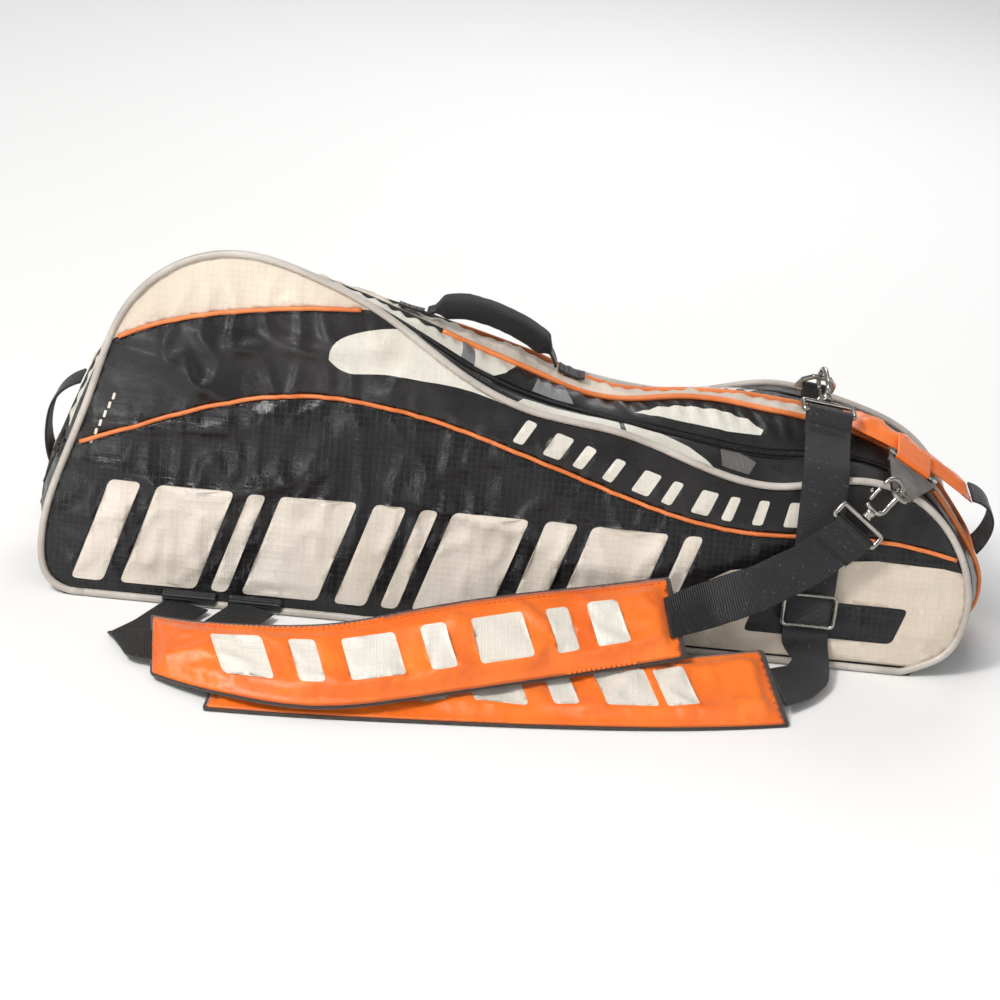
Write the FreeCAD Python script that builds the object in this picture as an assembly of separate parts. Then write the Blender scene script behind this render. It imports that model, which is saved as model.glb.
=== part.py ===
import FreeCAD, Part
import math
import os

from FreeCAD import Vector

# Racket tournament bag, in millimetres.
# It stands on its long bottom gusset. +X runs from the wide racket-head end to the narrow grip end,
# +Z is up, and the straps lie on the floor in front of the bag, at -Y.
# The origin is on the floor, in the middle of the bag's width.

# Driving sizes of the bag's body
HALF_WIDTH = 105.0
PANEL_LEAN = math.tan(math.radians(10.0))
PANEL_T = 4.0
GUSSET_T = 3.0
BASE_T = 3.0
SPINE_FRONT_Y = -22.0
SPINE_REAR_Y = 26.0
DIVIDER_Y = 2.0
DIVIDER_T = 2.0
DIVIDER_GAP = 1.6
BOARD_LENGTH = 600.0
BOARD_WIDTH = 72.0
BOARD_T = 2.0
ZIP_GAP = 8.0
COIL_HEIGHT = 2.0
PIPING = 4.0
SEAM_PIPING = 3.0
PIPING_LIFT = 0.15

# Driving sizes of the straps and their metal
WEBBING_WIDTH = 38.0
WEBBING_T = 1.8
PAD_T = 6.0
LINING_T = 2.0
WIRE_R = 2.2
HOOK_LENGTH = 42.0
HOOK_HALF_WIDTH = 8.0
EYE_LENGTH = 48.0
EYE_DEPTH = 12.0
FIT_GAP = 0.4
RUN_POINTS = 2

# Side outlines as (x, z), from the wide end's floor corner over the hump and down to the grip end's.
# All four have the same number of points, so that the gussets between them run straight across.
FRONT_OUTLINE = [
    (-330, BASE_T), (-354, 14), (-361, 45), (-347, 110), (-326, 175), (-303, 240), (-268, 275),
    (-215, 290), (-160, 279), (-100, 254), (-35, 213), (25, 188), (100, 177), (175, 154),
    (230, 146), (300, 157), (350, 142), (385, 102), (395, 62), (380, 20), (363, 10.4),
    (345, BASE_T),
]
SPINE_FRONT_OUTLINE = [
    (-345, BASE_T), (-368, 14), (-374, 45), (-357, 112), (-332, 175), (-302, 228), (-265, 262),
    (-212, 274), (-158, 264), (-95, 244), (-35, 222), (25, 201), (90, 184), (155, 192),
    (215, 188), (285, 177), (345, 148), (396, 90), (415, 52), (405, 16), (388, 8.6),
    (370, BASE_T),
]
SPINE_REAR_OUTLINE = [
    (-345, BASE_T), (-368, 14), (-374, 45), (-358, 108), (-334, 165), (-305, 210), (-268, 239),
    (-212, 251), (-155, 243), (-92, 230), (-35, 215), (25, 198), (90, 177), (155, 179),
    (215, 180), (285, 170), (345, 145), (396, 90), (415, 52), (405, 16), (388, 8.6),
    (370, BASE_T),
]
REAR_OUTLINE = [
    (-330, BASE_T), (-354, 14), (-361, 45), (-347, 105), (-327, 155), (-303, 197), (-266, 224),
    (-215, 233), (-158, 225), (-98, 211), (-35, 192), (25, 174), (100, 158), (165, 158),
    (225, 173), (290, 163), (350, 138), (385, 98), (395, 60), (380, 20), (363, 10.4),
    (345, BASE_T),
]

# Bottom gusset seen from above, as (x, y)
BASE_FOOTPRINT = [(-342, -105), (357, -105), (376, -22), (376, 26),
                  (357, 105), (-342, 105), (-351, 26), (-351, -22)]

# Seams across the side panels, as (x, z): both run past the panel's edge at each end
LOWER_SEAM = [(-375, 110), (-279, 151), (-200, 177), (-120, 184), (-38, 171), (88, 133),
              (204, 108), (318, 111), (420, 90)]
UPPER_SEAM = [(-375, 165), (-284, 228), (-205, 248), (-130, 256), (-60, 256)]
REAR_HUMP_SHARE = 0.80

# How far across each gusset its zip lies, from the side panel (0) to the spine (1)
ZIP_AT_HUMP = 0.28
ZIP_AT_GRIP_END = 0.50

# Carry handle: its pivots on the spine and the middle line of its arch, as (x, z)
HANDLE_Y = 2.0
HANDLE_CORE_LINE = [(-66, 237), (-59, 240), (-49, 243), (-30, 244),
                    (-6, 238), (19, 227), (37, 214), (43, 202)]
HANDLE_GRIP_LINE = HANDLE_CORE_LINE[1:-1]
HANDLE_WIDTH = 24.0
HANDLE_T = 12.0
HANDLE_CORE_WIDTH = 18.0
HANDLE_CORE_T = 2.2
HANDLE_TABS = {
    "left": ([(-90, 241), (-79, 238), (-69, 236.4)], (0.0, 0.97, -0.24)),
    "right": ([(46, 199.5), (54, 195.5), (68, 193)], (0.0, 1.0, -0.06)),
}

# Grip-end pad: the middle line of its strip, and the webbing loop that ends it, as (x, z)
END_PAD_LINE = [(284, 186), (315, 174), (345, 158), (372, 142), (400, 124)]
END_LOOP_LINE = [(400, 124), (412, 119), (420, 107), (419, 91), (411, 76)]
END_PAD_WIDTH = 44.0
END_PAD_T = 6.0
END_PAD_ACROSS = (0.0, 1.0, -0.04)
HEM_LENGTH = 34.0

# Triangular ring: its rod lies in the end pad's front hem
TRI_ROD_LEFT = Vector(319, -47, 175)
TRI_ROD_RIGHT = Vector(361, -47, 150)
TRI_PLATE_T = 2.4
TRI_EYE_HOLE_R = 6.0
TRI_EYE_R = 10.0

# Snap hooks: the middle of each eye's inner bar, and the direction from the eye to the hook's bow
HOOK_A_POST = Vector(299, -104, 136)
HOOK_A_AXIS = Vector(0.60, 0.25, 0.76).normalize()
HOOK_A_ACROSS = Vector(-0.785, 0.0, 0.62).normalize()
HOOK_B_POST = Vector(267, -26, 201)
HOOK_B_AXIS = Vector(-0.10, 0.96, 0.26).normalize()
HOOK_B_ACROSS = HOOK_B_AXIS.cross(Vector(0.17, 0.0, 0.985)).normalize()
HOOK_B_BOW_ACROSS = HOOK_B_AXIS.cross(HOOK_B_ACROSS).normalize()
D_RING_FOOT = ((-5, -3), (5, -3), (5, -12), (-5, -12))

# Straps: the lower and upper edges of each pad, from its left end to its right end
PAD_A_LOWER_EDGE = [(-248, -235, 9), (-176, -268, 15), (-106, -270, 15), (-54, -256, 19),
                    (22, -230, 24), (99, -199, 29), (164, -178, 38)]
PAD_A_UPPER_EDGE = [(-260, -163, 20), (-189, -200, 39), (-111, -207, 51), (-61, -198, 61),
                    (16, -172, 72), (91, -138, 72), (148, -117, 74)]
PAD_B_LOWER_EDGE = [(-200, -272, 5), (-128, -268, 5), (-52, -261, 5), (25, -253, 5),
                    (102, -243, 5), (181, -228, 5), (248, -209, 5)]
PAD_B_UPPER_EDGE = [(-196, -200, 8), (-124, -197, 9), (-50, -190, 11), (24, -182, 14),
                    (99, -173, 20), (172, -163, 29), (228, -150, 33)]

# Straps: middle line and width direction of each run of webbing
WEBBING_A_RIGHT = [((150, -152, 56), (-0.20, 0.85, 0.49)), ((185, -128, 60), (-0.30, 0.55, 0.78)),
                   ((222, -114, 71), (-0.38, 0.25, 0.89)), ((260, -110, 95), (-0.55, 0.08, 0.83)),
                   ((290, -108, 125.4), (-0.785, 0.0, 0.62))]
WEBBING_B_UPPER = [((268, -40, 195.6), (0.985, 0.0, -0.17)), ((267, -60, 183), (0.985, 0.0, -0.17)),
                   ((267, -82, 167), (0.99, 0.0, -0.10)), ((267, -95, 135), (1.0, 0.0, 0.0)),
                   ((267, -102, 110), (1.0, 0.0, 0.0)), ((267, -104, 92), (1.0, 0.0, 0.0))]
WEBBING_B_DROP = [((267, -104, 92), (1.0, 0.0, 0.0)), ((267, -104, 22), (1.0, 0.0, 0.0))]
WEBBING_B_TURN = [((267, -104, 22), (1.0, 0.0, 0.0)), ((270, -113, 14), (0.95, -0.30, -0.08)),
                  ((272, -134, 11), (0.75, -0.64, -0.18)), ((261, -158, 13), (0.50, -0.82, -0.28)),
                  ((242, -177, 17), (0.36, -0.85, -0.38))]
WEBBING_A_LEFT = [((-248, -199, 15), (-0.16, 0.97, 0.16)), ((-270, -196, 11), (-0.16, 0.98, 0.10)),
                  ((-284, -190, 6), (-0.45, 0.89, 0.0)), ((-278, -180, 2.2), (-0.85, 0.52, 0.0)),
                  ((-260, -152, 2.2), (-0.85, 0.52, 0.0)), ((-238, -112, 5), (-0.92, 0.38, 0.0))]
WEBBING_B_LEFT = [((-192, -236, 6.5), (0.06, 0.99, 0.02)), ((-216, -225, 6.5), (0.55, 0.83, 0.0)),
                  ((-222, -190, 7), (0.98, 0.20, 0.0)), ((-204, -152, 7), (0.93, -0.36, 0.0)),
                  ((-184, -112, 7), (0.93, -0.36, 0.0))]
STRAP_TAB_XS = (-238.0, -184.0)
ADJUSTER_CENTRE = Vector(267, -104, 52)
ADJUSTER_WIDTH = 46.0
ADJUSTER_HEIGHT = 32.0

# Haul loop at the wide end, as (x, z)
HAUL_LOOP_LINE = [(-349, 150), (-366, 138), (-375, 118), (-377, 95), (-373, 76)]
HAUL_LOOP_WIDTH = 30.0


def save(name, shape):
    """Writes one sub-part as its own STEP file."""
    shape.exportStep(os.path.join("parts", name + ".step"))


def spline_edge(points):
    """One smooth edge through the points, or a straight one through two."""
    if len(points) == 2:
        return Part.makeLine(points[0], points[1])
    curve = Part.BSplineCurve()
    curve.interpolate(points)
    return curve.toShape()


def spline_runs(points):
    """The smooth edge through the points in short runs, so that facing rails are matched point by point."""
    if len(points) == 2:
        return [spline_edge(points)]
    curve = Part.BSplineCurve()
    curve.interpolate(points)
    knots = curve.getKnots()
    last = len(knots) - 1
    stops = list(range(0, last, RUN_POINTS)) + [last]
    return [curve.toShape(knots[a], knots[b]) for a, b in zip(stops, stops[1:])]


def rail_solid(rails):
    """Closed solid whose long sides are ruled between neighbouring rails; the ends are flat."""
    sides = [spline_runs(rail) for rail in rails]
    faces = []
    for side, next_side in zip(sides, sides[1:] + sides[:1]):
        for run, facing in zip(side, next_side):
            faces.append(Part.makeRuledSurface(run, facing))
    for end in (0, -1):
        corners = [rail[end] for rail in rails]
        faces.append(Part.Face(Part.makePolygon(corners + corners[:1])))
    shell = Part.makeShell(faces)
    shell.sewShape()
    solid = Part.Solid(shell)
    if solid.Volume < 0:
        solid.reverse()
    return solid


def travel(points, index):
    """Direction of a point list at one of its points."""
    before = points[max(index - 1, 0)]
    after = points[min(index + 1, len(points) - 1)]
    return (after - before).normalize()


def front_rail(outline):
    """An outline laid on the plane of the leaning front side panel."""
    return [Vector(x, -HALF_WIDTH + z * PANEL_LEAN, z) for x, z in outline]


def rear_rail(outline):
    """An outline laid on the plane of the leaning rear side panel."""
    return [Vector(x, HALF_WIDTH - z * PANEL_LEAN, z) for x, z in outline]


def flat_rail(outline, y):
    """An outline laid on an upright plane."""
    return [Vector(x, y, z) for x, z in outline]


def shifted(rail, dy):
    """A rail moved across the bag."""
    return [point + Vector(0, dy, 0) for point in rail]


def between(rail_a, rail_b, share):
    """A rail part of the way from one rail to another; share is one number or a number per point."""
    if not isinstance(share, list):
        share = [share] * len(rail_a)
    return [a + (b - a) * s for a, b, s in zip(rail_a, rail_b, share)]


def inset(rail, distance):
    """A rail moved into the bag; its floor ends stay on the base and move along it."""
    moved = []
    last = len(rail) - 1
    for index, point in enumerate(rail):
        along = travel(rail, index)
        if index in (0, last):
            slope = max(abs(along.z), 0.35)
            step = distance / slope
            moved.append(point + Vector(step if index == 0 else -step, 0, 0))
            continue
        inward = Vector(along.z, 0, -along.x).normalize()
        moved.append(point + inward * distance)
    return moved


def gusset_band(rail_a, rail_b, thickness=GUSSET_T):
    """A strip of gusset between two rails, open at the floor."""
    return rail_solid([rail_a, rail_b, inset(rail_b, thickness), inset(rail_a, thickness)])


def toward(rail_a, rail_b, distance):
    """Rail a moved towards rail b by a distance, point by point."""
    return [a + (b - a).normalize() * distance for a, b in zip(rail_a, rail_b)]


def zip_shares(count):
    """Where the zip crosses the gusset at each point, from the hump to the grip end."""
    span = ZIP_AT_GRIP_END - ZIP_AT_HUMP
    return [ZIP_AT_HUMP + span * index / (count - 1) for index in range(count)]


def below_curve(points, y_low, y_high):
    """A block that holds everything below a seam."""
    rail = [Vector(x, y_low, z) for x, z in points]
    low = -20.0
    left = rail[0]
    right = rail[-1]
    sides = [
        spline_edge(rail),
        Part.makeLine(right, Vector(right.x, y_low, low)),
        Part.makeLine(Vector(right.x, y_low, low), Vector(left.x, y_low, low)),
        Part.makeLine(Vector(left.x, y_low, low), left),
    ]
    return Part.Face(Part.Wire(sides)).extrude(Vector(0, y_high - y_low, 0))


def side_panel(rail, depth):
    """A whole side panel: the outline closed along the floor, and thickened across the bag."""
    sides = [spline_edge(rail), Part.makeLine(rail[-1], rail[0])]
    return Part.Face(Part.Wire(sides)).extrude(Vector(0, depth, 0))


def split_panel(panel, lower_seam, upper_seam):
    """The three cut pieces of a side panel: below, between and above its two seams."""
    reach = HALF_WIDTH + 20
    under_lower = below_curve(lower_seam, -reach, reach)
    grip_side = Part.makeBox(600, 2 * reach, 400, Vector(upper_seam[-1][0], -reach, -20))
    under_upper = below_curve(upper_seam, -reach, reach).fuse(grip_side)
    lower = panel.common(under_lower)
    rest = panel.cut(under_lower)
    return lower, rest.common(under_upper), rest.cut(under_upper)


def trimmed(points, panel_rail, margin=8.0):
    """The points of a seam that lie inside the panel, with its ends brought to the panel's edge."""
    outline = Part.Face(Part.Wire([
        spline_edge([Vector(p.x, 0, p.z) for p in panel_rail]),
        Part.makeLine(Vector(panel_rail[-1].x, 0, panel_rail[-1].z),
                      Vector(panel_rail[0].x, 0, panel_rail[0].z))]))
    edge = spline_edge([Vector(x, 0, z) for x, z in points])
    inside = edge.common(outline).Edges[0]
    count = len(points)
    first = margin
    last = inside.Length - margin
    stops = [first + (last - first) * index / (count - 1) for index in range(count)]
    found = [inside.valueAt(inside.getParameterByLength(stop)) for stop in stops]
    if found[0].x > found[-1].x:
        found.reverse()
    return found


def seam_piping(points, panel_rail, outward):
    """A raised cord sewn along a seam, on the outside of the side panel."""
    run = trimmed(points, panel_rail)
    face_y = [outward * (HALF_WIDTH - p.z * PANEL_LEAN) for p in run]
    low, high = -SEAM_PIPING / 2, SEAM_PIPING / 2
    corners = [(low, 0.0), (high, 0.0), (high, SEAM_PIPING), (low, SEAM_PIPING)]
    rails = []
    for rise, out in corners:
        rails.append([Vector(p.x, y + outward * out - outward * rise * PANEL_LEAN, p.z + rise)
                      for p, y in zip(run, face_y)])
    return rail_solid(rails)


def edge_piping(rail, dy):
    """A raised edge cord: it stands on the gusset, along the edge of the side panel or spine."""
    outer = inset(rail, -PIPING)
    return rail_solid([rail, shifted(rail, dy), shifted(outer, dy), outer])


def ribbon(stations, width, thickness, lift=0.0):
    """A flat strap along stations of (middle, width direction)."""
    middles = [Vector(*middle) for middle, _ in stations]
    rails = [[], [], [], []]
    for index, (_, across) in enumerate(stations):
        side = Vector(*across).normalize()
        normal = side.cross(travel(middles, index)).normalize()
        centre = middles[index] + normal * lift
        half_w = side * (width / 2)
        half_t = normal * (thickness / 2)
        for rail, offset in zip(rails, (half_w + half_t, half_w - half_t,
                                        -half_w - half_t, -half_w + half_t)):
            rail.append(centre + offset)
    return rail_solid(rails)


def strip_xz(line, y, width, thickness, lift=0.0):
    """A flat strap that runs along the bag, with its width straight across it."""
    return ribbon([((x, y, z), (0, 1, 0)) for x, z in line], width, thickness, lift)


def pad_layer(lower_edge, upper_edge, thickness, lift):
    """One layer of a shoulder pad, lifted off the pad's middle surface."""
    stations = []
    for low, high in zip(lower_edge, upper_edge):
        low = Vector(*low)
        high = Vector(*high)
        stations.append((tuple((low + high) / 2), tuple(low - high)))
    width = (Vector(*lower_edge[0]) - Vector(*upper_edge[0])).Length
    return ribbon(stations, width, thickness, lift)


def rod(start, end, radius):
    """A round bar between two points."""
    return Part.makeCylinder(radius, (end - start).Length, start, end - start)


def wire_loop(points, radius):
    """A bent round wire: straight runs with ball corners, fused into one solid."""
    closed = points + points[:1]
    solid = rod(closed[0], closed[1], radius)
    for start, end in zip(closed, closed[1:]):
        solid = solid.fuse(rod(start, end, radius))
        solid = solid.fuse(Part.makeSphere(radius, start))
    return solid.removeSplitter()


def arc_points(centre, across, along, radius, start_deg, end_deg, count):
    """Points round part of a circle, where 0 degrees points across and 90 degrees along."""
    points = []
    for index in range(count):
        angle = math.radians(start_deg + (end_deg - start_deg) * index / (count - 1))
        points.append(centre + across * (radius * math.cos(angle)) + along * (radius * math.sin(angle)))
    return points


def bent_wire(points, radius):
    """An open bent wire of straight runs with ball joints."""
    solid = Part.makeSphere(radius, points[0])
    for start, end in zip(points, points[1:]):
        solid = solid.fuse(rod(start, end, radius))
        solid = solid.fuse(Part.makeSphere(radius, end))
    return solid.removeSplitter()


def snap_hook_eye(post, axis, across):
    """The rectangular eye that the webbing is sewn round, with the swivel post's socket."""
    half = across * (EYE_LENGTH / 2 - WIRE_R)
    back = axis * -EYE_DEPTH
    return wire_loop([post - half, post + half, post + half + back, post - half + back], WIRE_R)


def snap_hook_body(post, axis, across):
    """The swivelling hook: collar, back and bow, ending in the nose that the gate closes on."""
    collar_start = post + axis * (WIRE_R + FIT_GAP)
    shoulder = post + axis * 11.0
    collar = Part.makeCylinder(4.2, 8.0, collar_start, axis)
    bow_centre = post + axis * (HOOK_LENGTH - HOOK_HALF_WIDTH)
    bow = arc_points(bow_centre, across, axis, HOOK_HALF_WIDTH, 180, 0, 9)
    nose = bow[-1] - axis * 1.5
    back = shoulder - across * HOOK_HALF_WIDTH
    lug = shoulder + across * HOOK_HALF_WIDTH
    hook = bent_wire([lug, shoulder, back] + bow + [nose], WIRE_R)
    return collar.fuse(hook).removeSplitter()


def snap_hook_gate(post, axis, across):
    """The sprung gate, pivoted beside the collar, with the thumb stud on its outside."""
    foot = post + axis * (11.0 + 2 * WIRE_R + FIT_GAP) + across * HOOK_HALF_WIDTH
    tip_rise = HOOK_LENGTH - HOOK_HALF_WIDTH - 1.5 - WIRE_R - FIT_GAP
    tip = post + axis * (tip_rise - 1.6) + across * HOOK_HALF_WIDTH
    gate = bent_wire([foot, tip], 1.6)
    stud_at = (foot + tip) / 2
    stud = Part.makeCylinder(1.5, 5.5, stud_at, across)
    return gate.fuse(stud).removeSplitter()


def webbing_sleeve(centre, direction, length, bar_radius):
    """The sewn end of a webbing, wrapped round a metal bar with a running gap."""
    inner = bar_radius + FIT_GAP
    start = centre - direction * (length / 2)
    tube = Part.makeCylinder(inner + WEBBING_T, length, start, direction)
    return tube, Part.makeCylinder(inner, length + 20, start - direction * 10, direction)


def make_base():
    """Bottom gusset fabric and the stiff boards that lie on it inside the bag."""
    corners = [Vector(x, y, 0) for x, y in BASE_FOOTPRINT]
    save("base_panel", Part.Face(Part.makePolygon(corners + corners[:1])).extrude(Vector(0, 0, BASE_T)))
    boards = [Part.makeBox(BOARD_LENGTH, BOARD_WIDTH, BOARD_T, Vector(-BOARD_LENGTH / 2, y, BASE_T))
              for y in (DIVIDER_Y - 4.0 - BOARD_WIDTH, DIVIDER_Y + 4.0)]
    save("base_boards", Part.makeCompound(boards))


def make_side(name, rail, depth, outward, height_share):
    """One leaning side panel: three cut pieces and its edge piping; returns its seam pipings."""
    lower_seam = [(x, z * height_share) for x, z in LOWER_SEAM]
    upper_seam = [(x, z * height_share) for x, z in UPPER_SEAM]
    pieces = split_panel(side_panel(rail, depth), lower_seam, upper_seam)
    for level, piece in zip(("lower", "band", "upper"), pieces):
        save(name + "_panel_" + level, piece)
    save(name + "_edge_piping", edge_piping(rail, depth))
    return seam_piping(lower_seam, rail, outward), seam_piping(upper_seam, rail, outward)


def make_zip(name, outer_rail, spine_rail):
    """A gusset in two strips with the zip between them; returns the zip's middle line."""
    middle = between(outer_rail, spine_rail, zip_shares(len(outer_rail)))
    panel_side = toward(middle, outer_rail, ZIP_GAP / 2)
    spine_side = toward(middle, spine_rail, ZIP_GAP / 2)
    save(name + "_gusset_outer", gusset_band(outer_rail, panel_side))
    save(name + "_gusset_inner", gusset_band(spine_side, spine_rail))
    return middle, panel_side, spine_side


def make_front_zip(middle, panel_side, spine_side):
    """Front zip: one tape across the gap, and the coil standing on it."""
    tape = rail_solid([inset(panel_side, 0.6), inset(spine_side, 0.6),
                       inset(spine_side, 2.2), inset(panel_side, 2.2)])
    save("front_zip_tape", tape)
    side_a = toward(middle, panel_side, 2.0)
    side_b = toward(middle, spine_side, 2.0)
    coil = rail_solid([inset(side_a, 0.6 - COIL_HEIGHT), inset(side_b, 0.6 - COIL_HEIGHT),
                       inset(side_b, 0.6), inset(side_a, 0.6)])
    save("front_zip_coil", coil)


def make_rear_zip(middle, panel_side, spine_side):
    """Rear zip: one tape half on the bag, the other on the opening cover."""
    halves = {"rear_zip_tape_cover": (panel_side, 0.5), "rear_zip_tape_fixed": (spine_side, 0.5)}
    for name, (side, gap) in halves.items():
        edge = toward(middle, side, gap)
        save(name, rail_solid([inset(edge, 0.0), inset(side, 0.0), inset(side, 2.0), inset(edge, 2.0)]))


def local_block(origin, axes, low, high):
    """A box given by its low and high corners along three chosen axes."""
    u, v, w = axes
    corner = origin + u * low[0] + v * low[1] + w * low[2]
    size = [high[k] - low[k] for k in range(3)]
    placing = FreeCAD.Matrix(u.x, v.x, w.x, corner.x,
                             u.y, v.y, w.y, corner.y,
                             u.z, v.z, w.z, corner.z,
                             0, 0, 0, 1)
    box = Part.makeBox(*size)
    box.transformShape(placing)
    return box


def slider_place(line):
    """Where a zip slider stands at the wide end, the way its pull hangs, and the way out of the bag."""
    hanging = (line[3] - line[4]).normalize()
    outward = Vector(hanging.z, 0, -hanging.x).normalize()
    return line[3], hanging, outward


def make_slider(name, at, along, up):
    """A zip slider that runs above the coil, and the pull tab that lies on its bridge."""
    axes = (along, up.cross(along).normalize(), up)
    body = local_block(at, axes, (-7, -4.5, 2.6), (7, 4.5, 4.6))
    for post_low in (-5.0, 3.4):
        body = body.fuse(local_block(at, axes, (post_low, -1.6, 4.6), (post_low + 1.6, 1.6, 8.4)))
    body = body.fuse(local_block(at, axes, (-5, -1.6, 8.4), (5, 1.6, 9.8)))
    save(name + "_slider", body.removeSplitter())
    tab = local_block(at, axes, (-2.4, -4, 5.7), (32, 4, 7.3))
    window = local_block(at, axes, (-0.6, -2.4, 5), (7, 2.4, 8))
    save(name + "_pull", tab.cut(window))


def make_spine(spine_front, spine_rear):
    """Cream spine strip, its two orange pipings and the divider that hangs below it."""
    save("spine_panel", gusset_band(spine_front, spine_rear))
    for name, rail, far_rail in (("front", spine_front, spine_rear), ("rear", spine_rear, spine_front)):
        foot = [rail, toward(rail, far_rail, PIPING)]
        low = [inset(line, -PIPING_LIFT) for line in foot]
        high = [inset(line, -PIPING) for line in foot]
        save("spine_piping_" + name, rail_solid([low[0], low[1], high[1], high[0]]))
    middle = inset(between(spine_front, spine_rear, 0.5), GUSSET_T + DIVIDER_GAP)
    face_y = DIVIDER_Y - DIVIDER_T / 2
    save("center_divider", side_panel([Vector(p.x, face_y, p.z) for p in middle], DIVIDER_T))


def make_handle():
    """Carry handle: a webbing core in a padded sleeve, between two tabs sewn to the spine."""
    core = strip_xz(HANDLE_CORE_LINE, HANDLE_Y, HANDLE_CORE_WIDTH, HANDLE_CORE_T)
    sleeve = strip_xz(HANDLE_GRIP_LINE, HANDLE_Y, HANDLE_WIDTH, HANDLE_T)
    save("handle_webbing", core)
    save("handle_grip", sleeve.cut(core))
    tabs = []
    for line, across in HANDLE_TABS.values():
        tabs.append(ribbon([((x, HANDLE_Y, z), across) for x, z in line], HANDLE_CORE_WIDTH, 2.0))
    save("handle_anchor_tabs", Part.makeCompound(tabs))


def tri_axes():
    """Along the triangular ring's rod, from the rod to its eye, and square to its plate."""
    along = (TRI_ROD_RIGHT - TRI_ROD_LEFT).normalize()
    rim = HOOK_A_POST + HOOK_A_AXIS * (HOOK_LENGTH - 7.0)
    eye = rim + along * HOOK_HALF_WIDTH
    middle = (TRI_ROD_LEFT + TRI_ROD_RIGHT) / 2
    reach = eye - middle
    outward = (reach - along * reach.dot(along)).normalize()
    return along, outward, along.cross(outward).normalize(), eye, middle


def make_end_grip():
    """Grip-end pad with the hem that holds the ring's rod, and the webbing loop that ends it."""
    along, _, _, _, middle = tri_axes()
    pad = ribbon([((x, 0, z), END_PAD_ACROSS) for x, z in END_PAD_LINE], END_PAD_WIDTH, END_PAD_T)
    tube, bore = webbing_sleeve(middle, along, HEM_LENGTH, WIRE_R)
    edge = middle + Vector(0, END_PAD_WIDTH / 2 + 1.0, 3.5)
    flap = rail_solid([
        [middle - along * 17 + Vector(0, 2, -1), middle + along * 17 + Vector(0, 2, -1)],
        [middle - along * 17 + Vector(0, 2, 1), middle + along * 17 + Vector(0, 2, 1)],
        [edge - along * 17 + Vector(0, 4, 1), edge + along * 17 + Vector(0, 4, 1)],
        [edge - along * 17 + Vector(0, 4, -1), edge + along * 17 + Vector(0, 4, -1)]])
    save("end_grip_pad", pad.fuse(tube).fuse(flap).cut(bore).removeSplitter())
    save("end_grip_webbing", strip_xz(END_LOOP_LINE, 0, WEBBING_WIDTH, WEBBING_T))


def make_tri_ring():
    """Triangular ring: a plate with an eye, hung on a rod through its two rolled ears."""
    along, outward, normal, eye, middle = tri_axes()
    half_span = (TRI_ROD_RIGHT - TRI_ROD_LEFT).Length / 2
    save("tri_ring_rod", rod(TRI_ROD_LEFT, TRI_ROD_RIGHT, WIRE_R))
    base = middle + outward * (WIRE_R + WEBBING_T + 3.0)
    corners = [base - along * half_span, base + along * half_span]
    rim_left = eye - along * TRI_EYE_R
    tangent = eye + outward * (0.7 * TRI_EYE_R) + along * (0.7 * TRI_EYE_R)
    outline = [corners[0], corners[1], tangent, eye, rim_left]
    thick = normal * TRI_PLATE_T
    flat = Part.Face(Part.makePolygon([p - thick / 2 for p in outline + outline[:1]]))
    plate = flat.extrude(thick)
    plate = plate.fuse(Part.makeCylinder(TRI_EYE_R, TRI_PLATE_T, eye - thick / 2, normal))
    for side in (-1, 1):
        ear_at = middle + along * (side * (half_span - 2.0))
        plate = plate.fuse(Part.makeCylinder(WIRE_R + 1.6, 4.0, ear_at - along * 2.0, along))
        link = local_block(ear_at, (along, outward, normal), (-2, 0, -1.2), (2, 12, 1.2))
        plate = plate.fuse(link)
    plate = plate.cut(Part.makeCylinder(TRI_EYE_HOLE_R, 20, eye - normal * 10, normal))
    save("tri_ring_plate", plate.cut(rod(TRI_ROD_LEFT, TRI_ROD_RIGHT, WIRE_R)).removeSplitter())


def make_snap_hook(name, post, axis, across, bow_across):
    """One swivel snap hook as three pieces; the bow can be turned on the eye about its axis."""
    save(name + "_eye", snap_hook_eye(post, axis, across))
    save(name + "_body", snap_hook_body(post, axis, bow_across))
    save(name + "_gate", snap_hook_gate(post, axis, bow_across))


def sleeved_webbing(stations, post, axis, across):
    """A run of webbing that ends in a sleeve round a snap hook eye's outer bar."""
    bar = post - axis * EYE_DEPTH
    tube, bore = webbing_sleeve(bar, across, WEBBING_WIDTH, WIRE_R)
    return ribbon(stations, WEBBING_WIDTH, WEBBING_T).fuse(tube).cut(bore).removeSplitter()


def folded_ribbon(stations, width, thickness):
    """A flat strap of straight runs, for webbing that folds back on itself."""
    solid = ribbon(stations[:2], width, thickness)
    for pair in zip(stations[1:], stations[2:]):
        solid = solid.fuse(ribbon(list(pair), width, thickness))
    return solid.removeSplitter()


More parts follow.
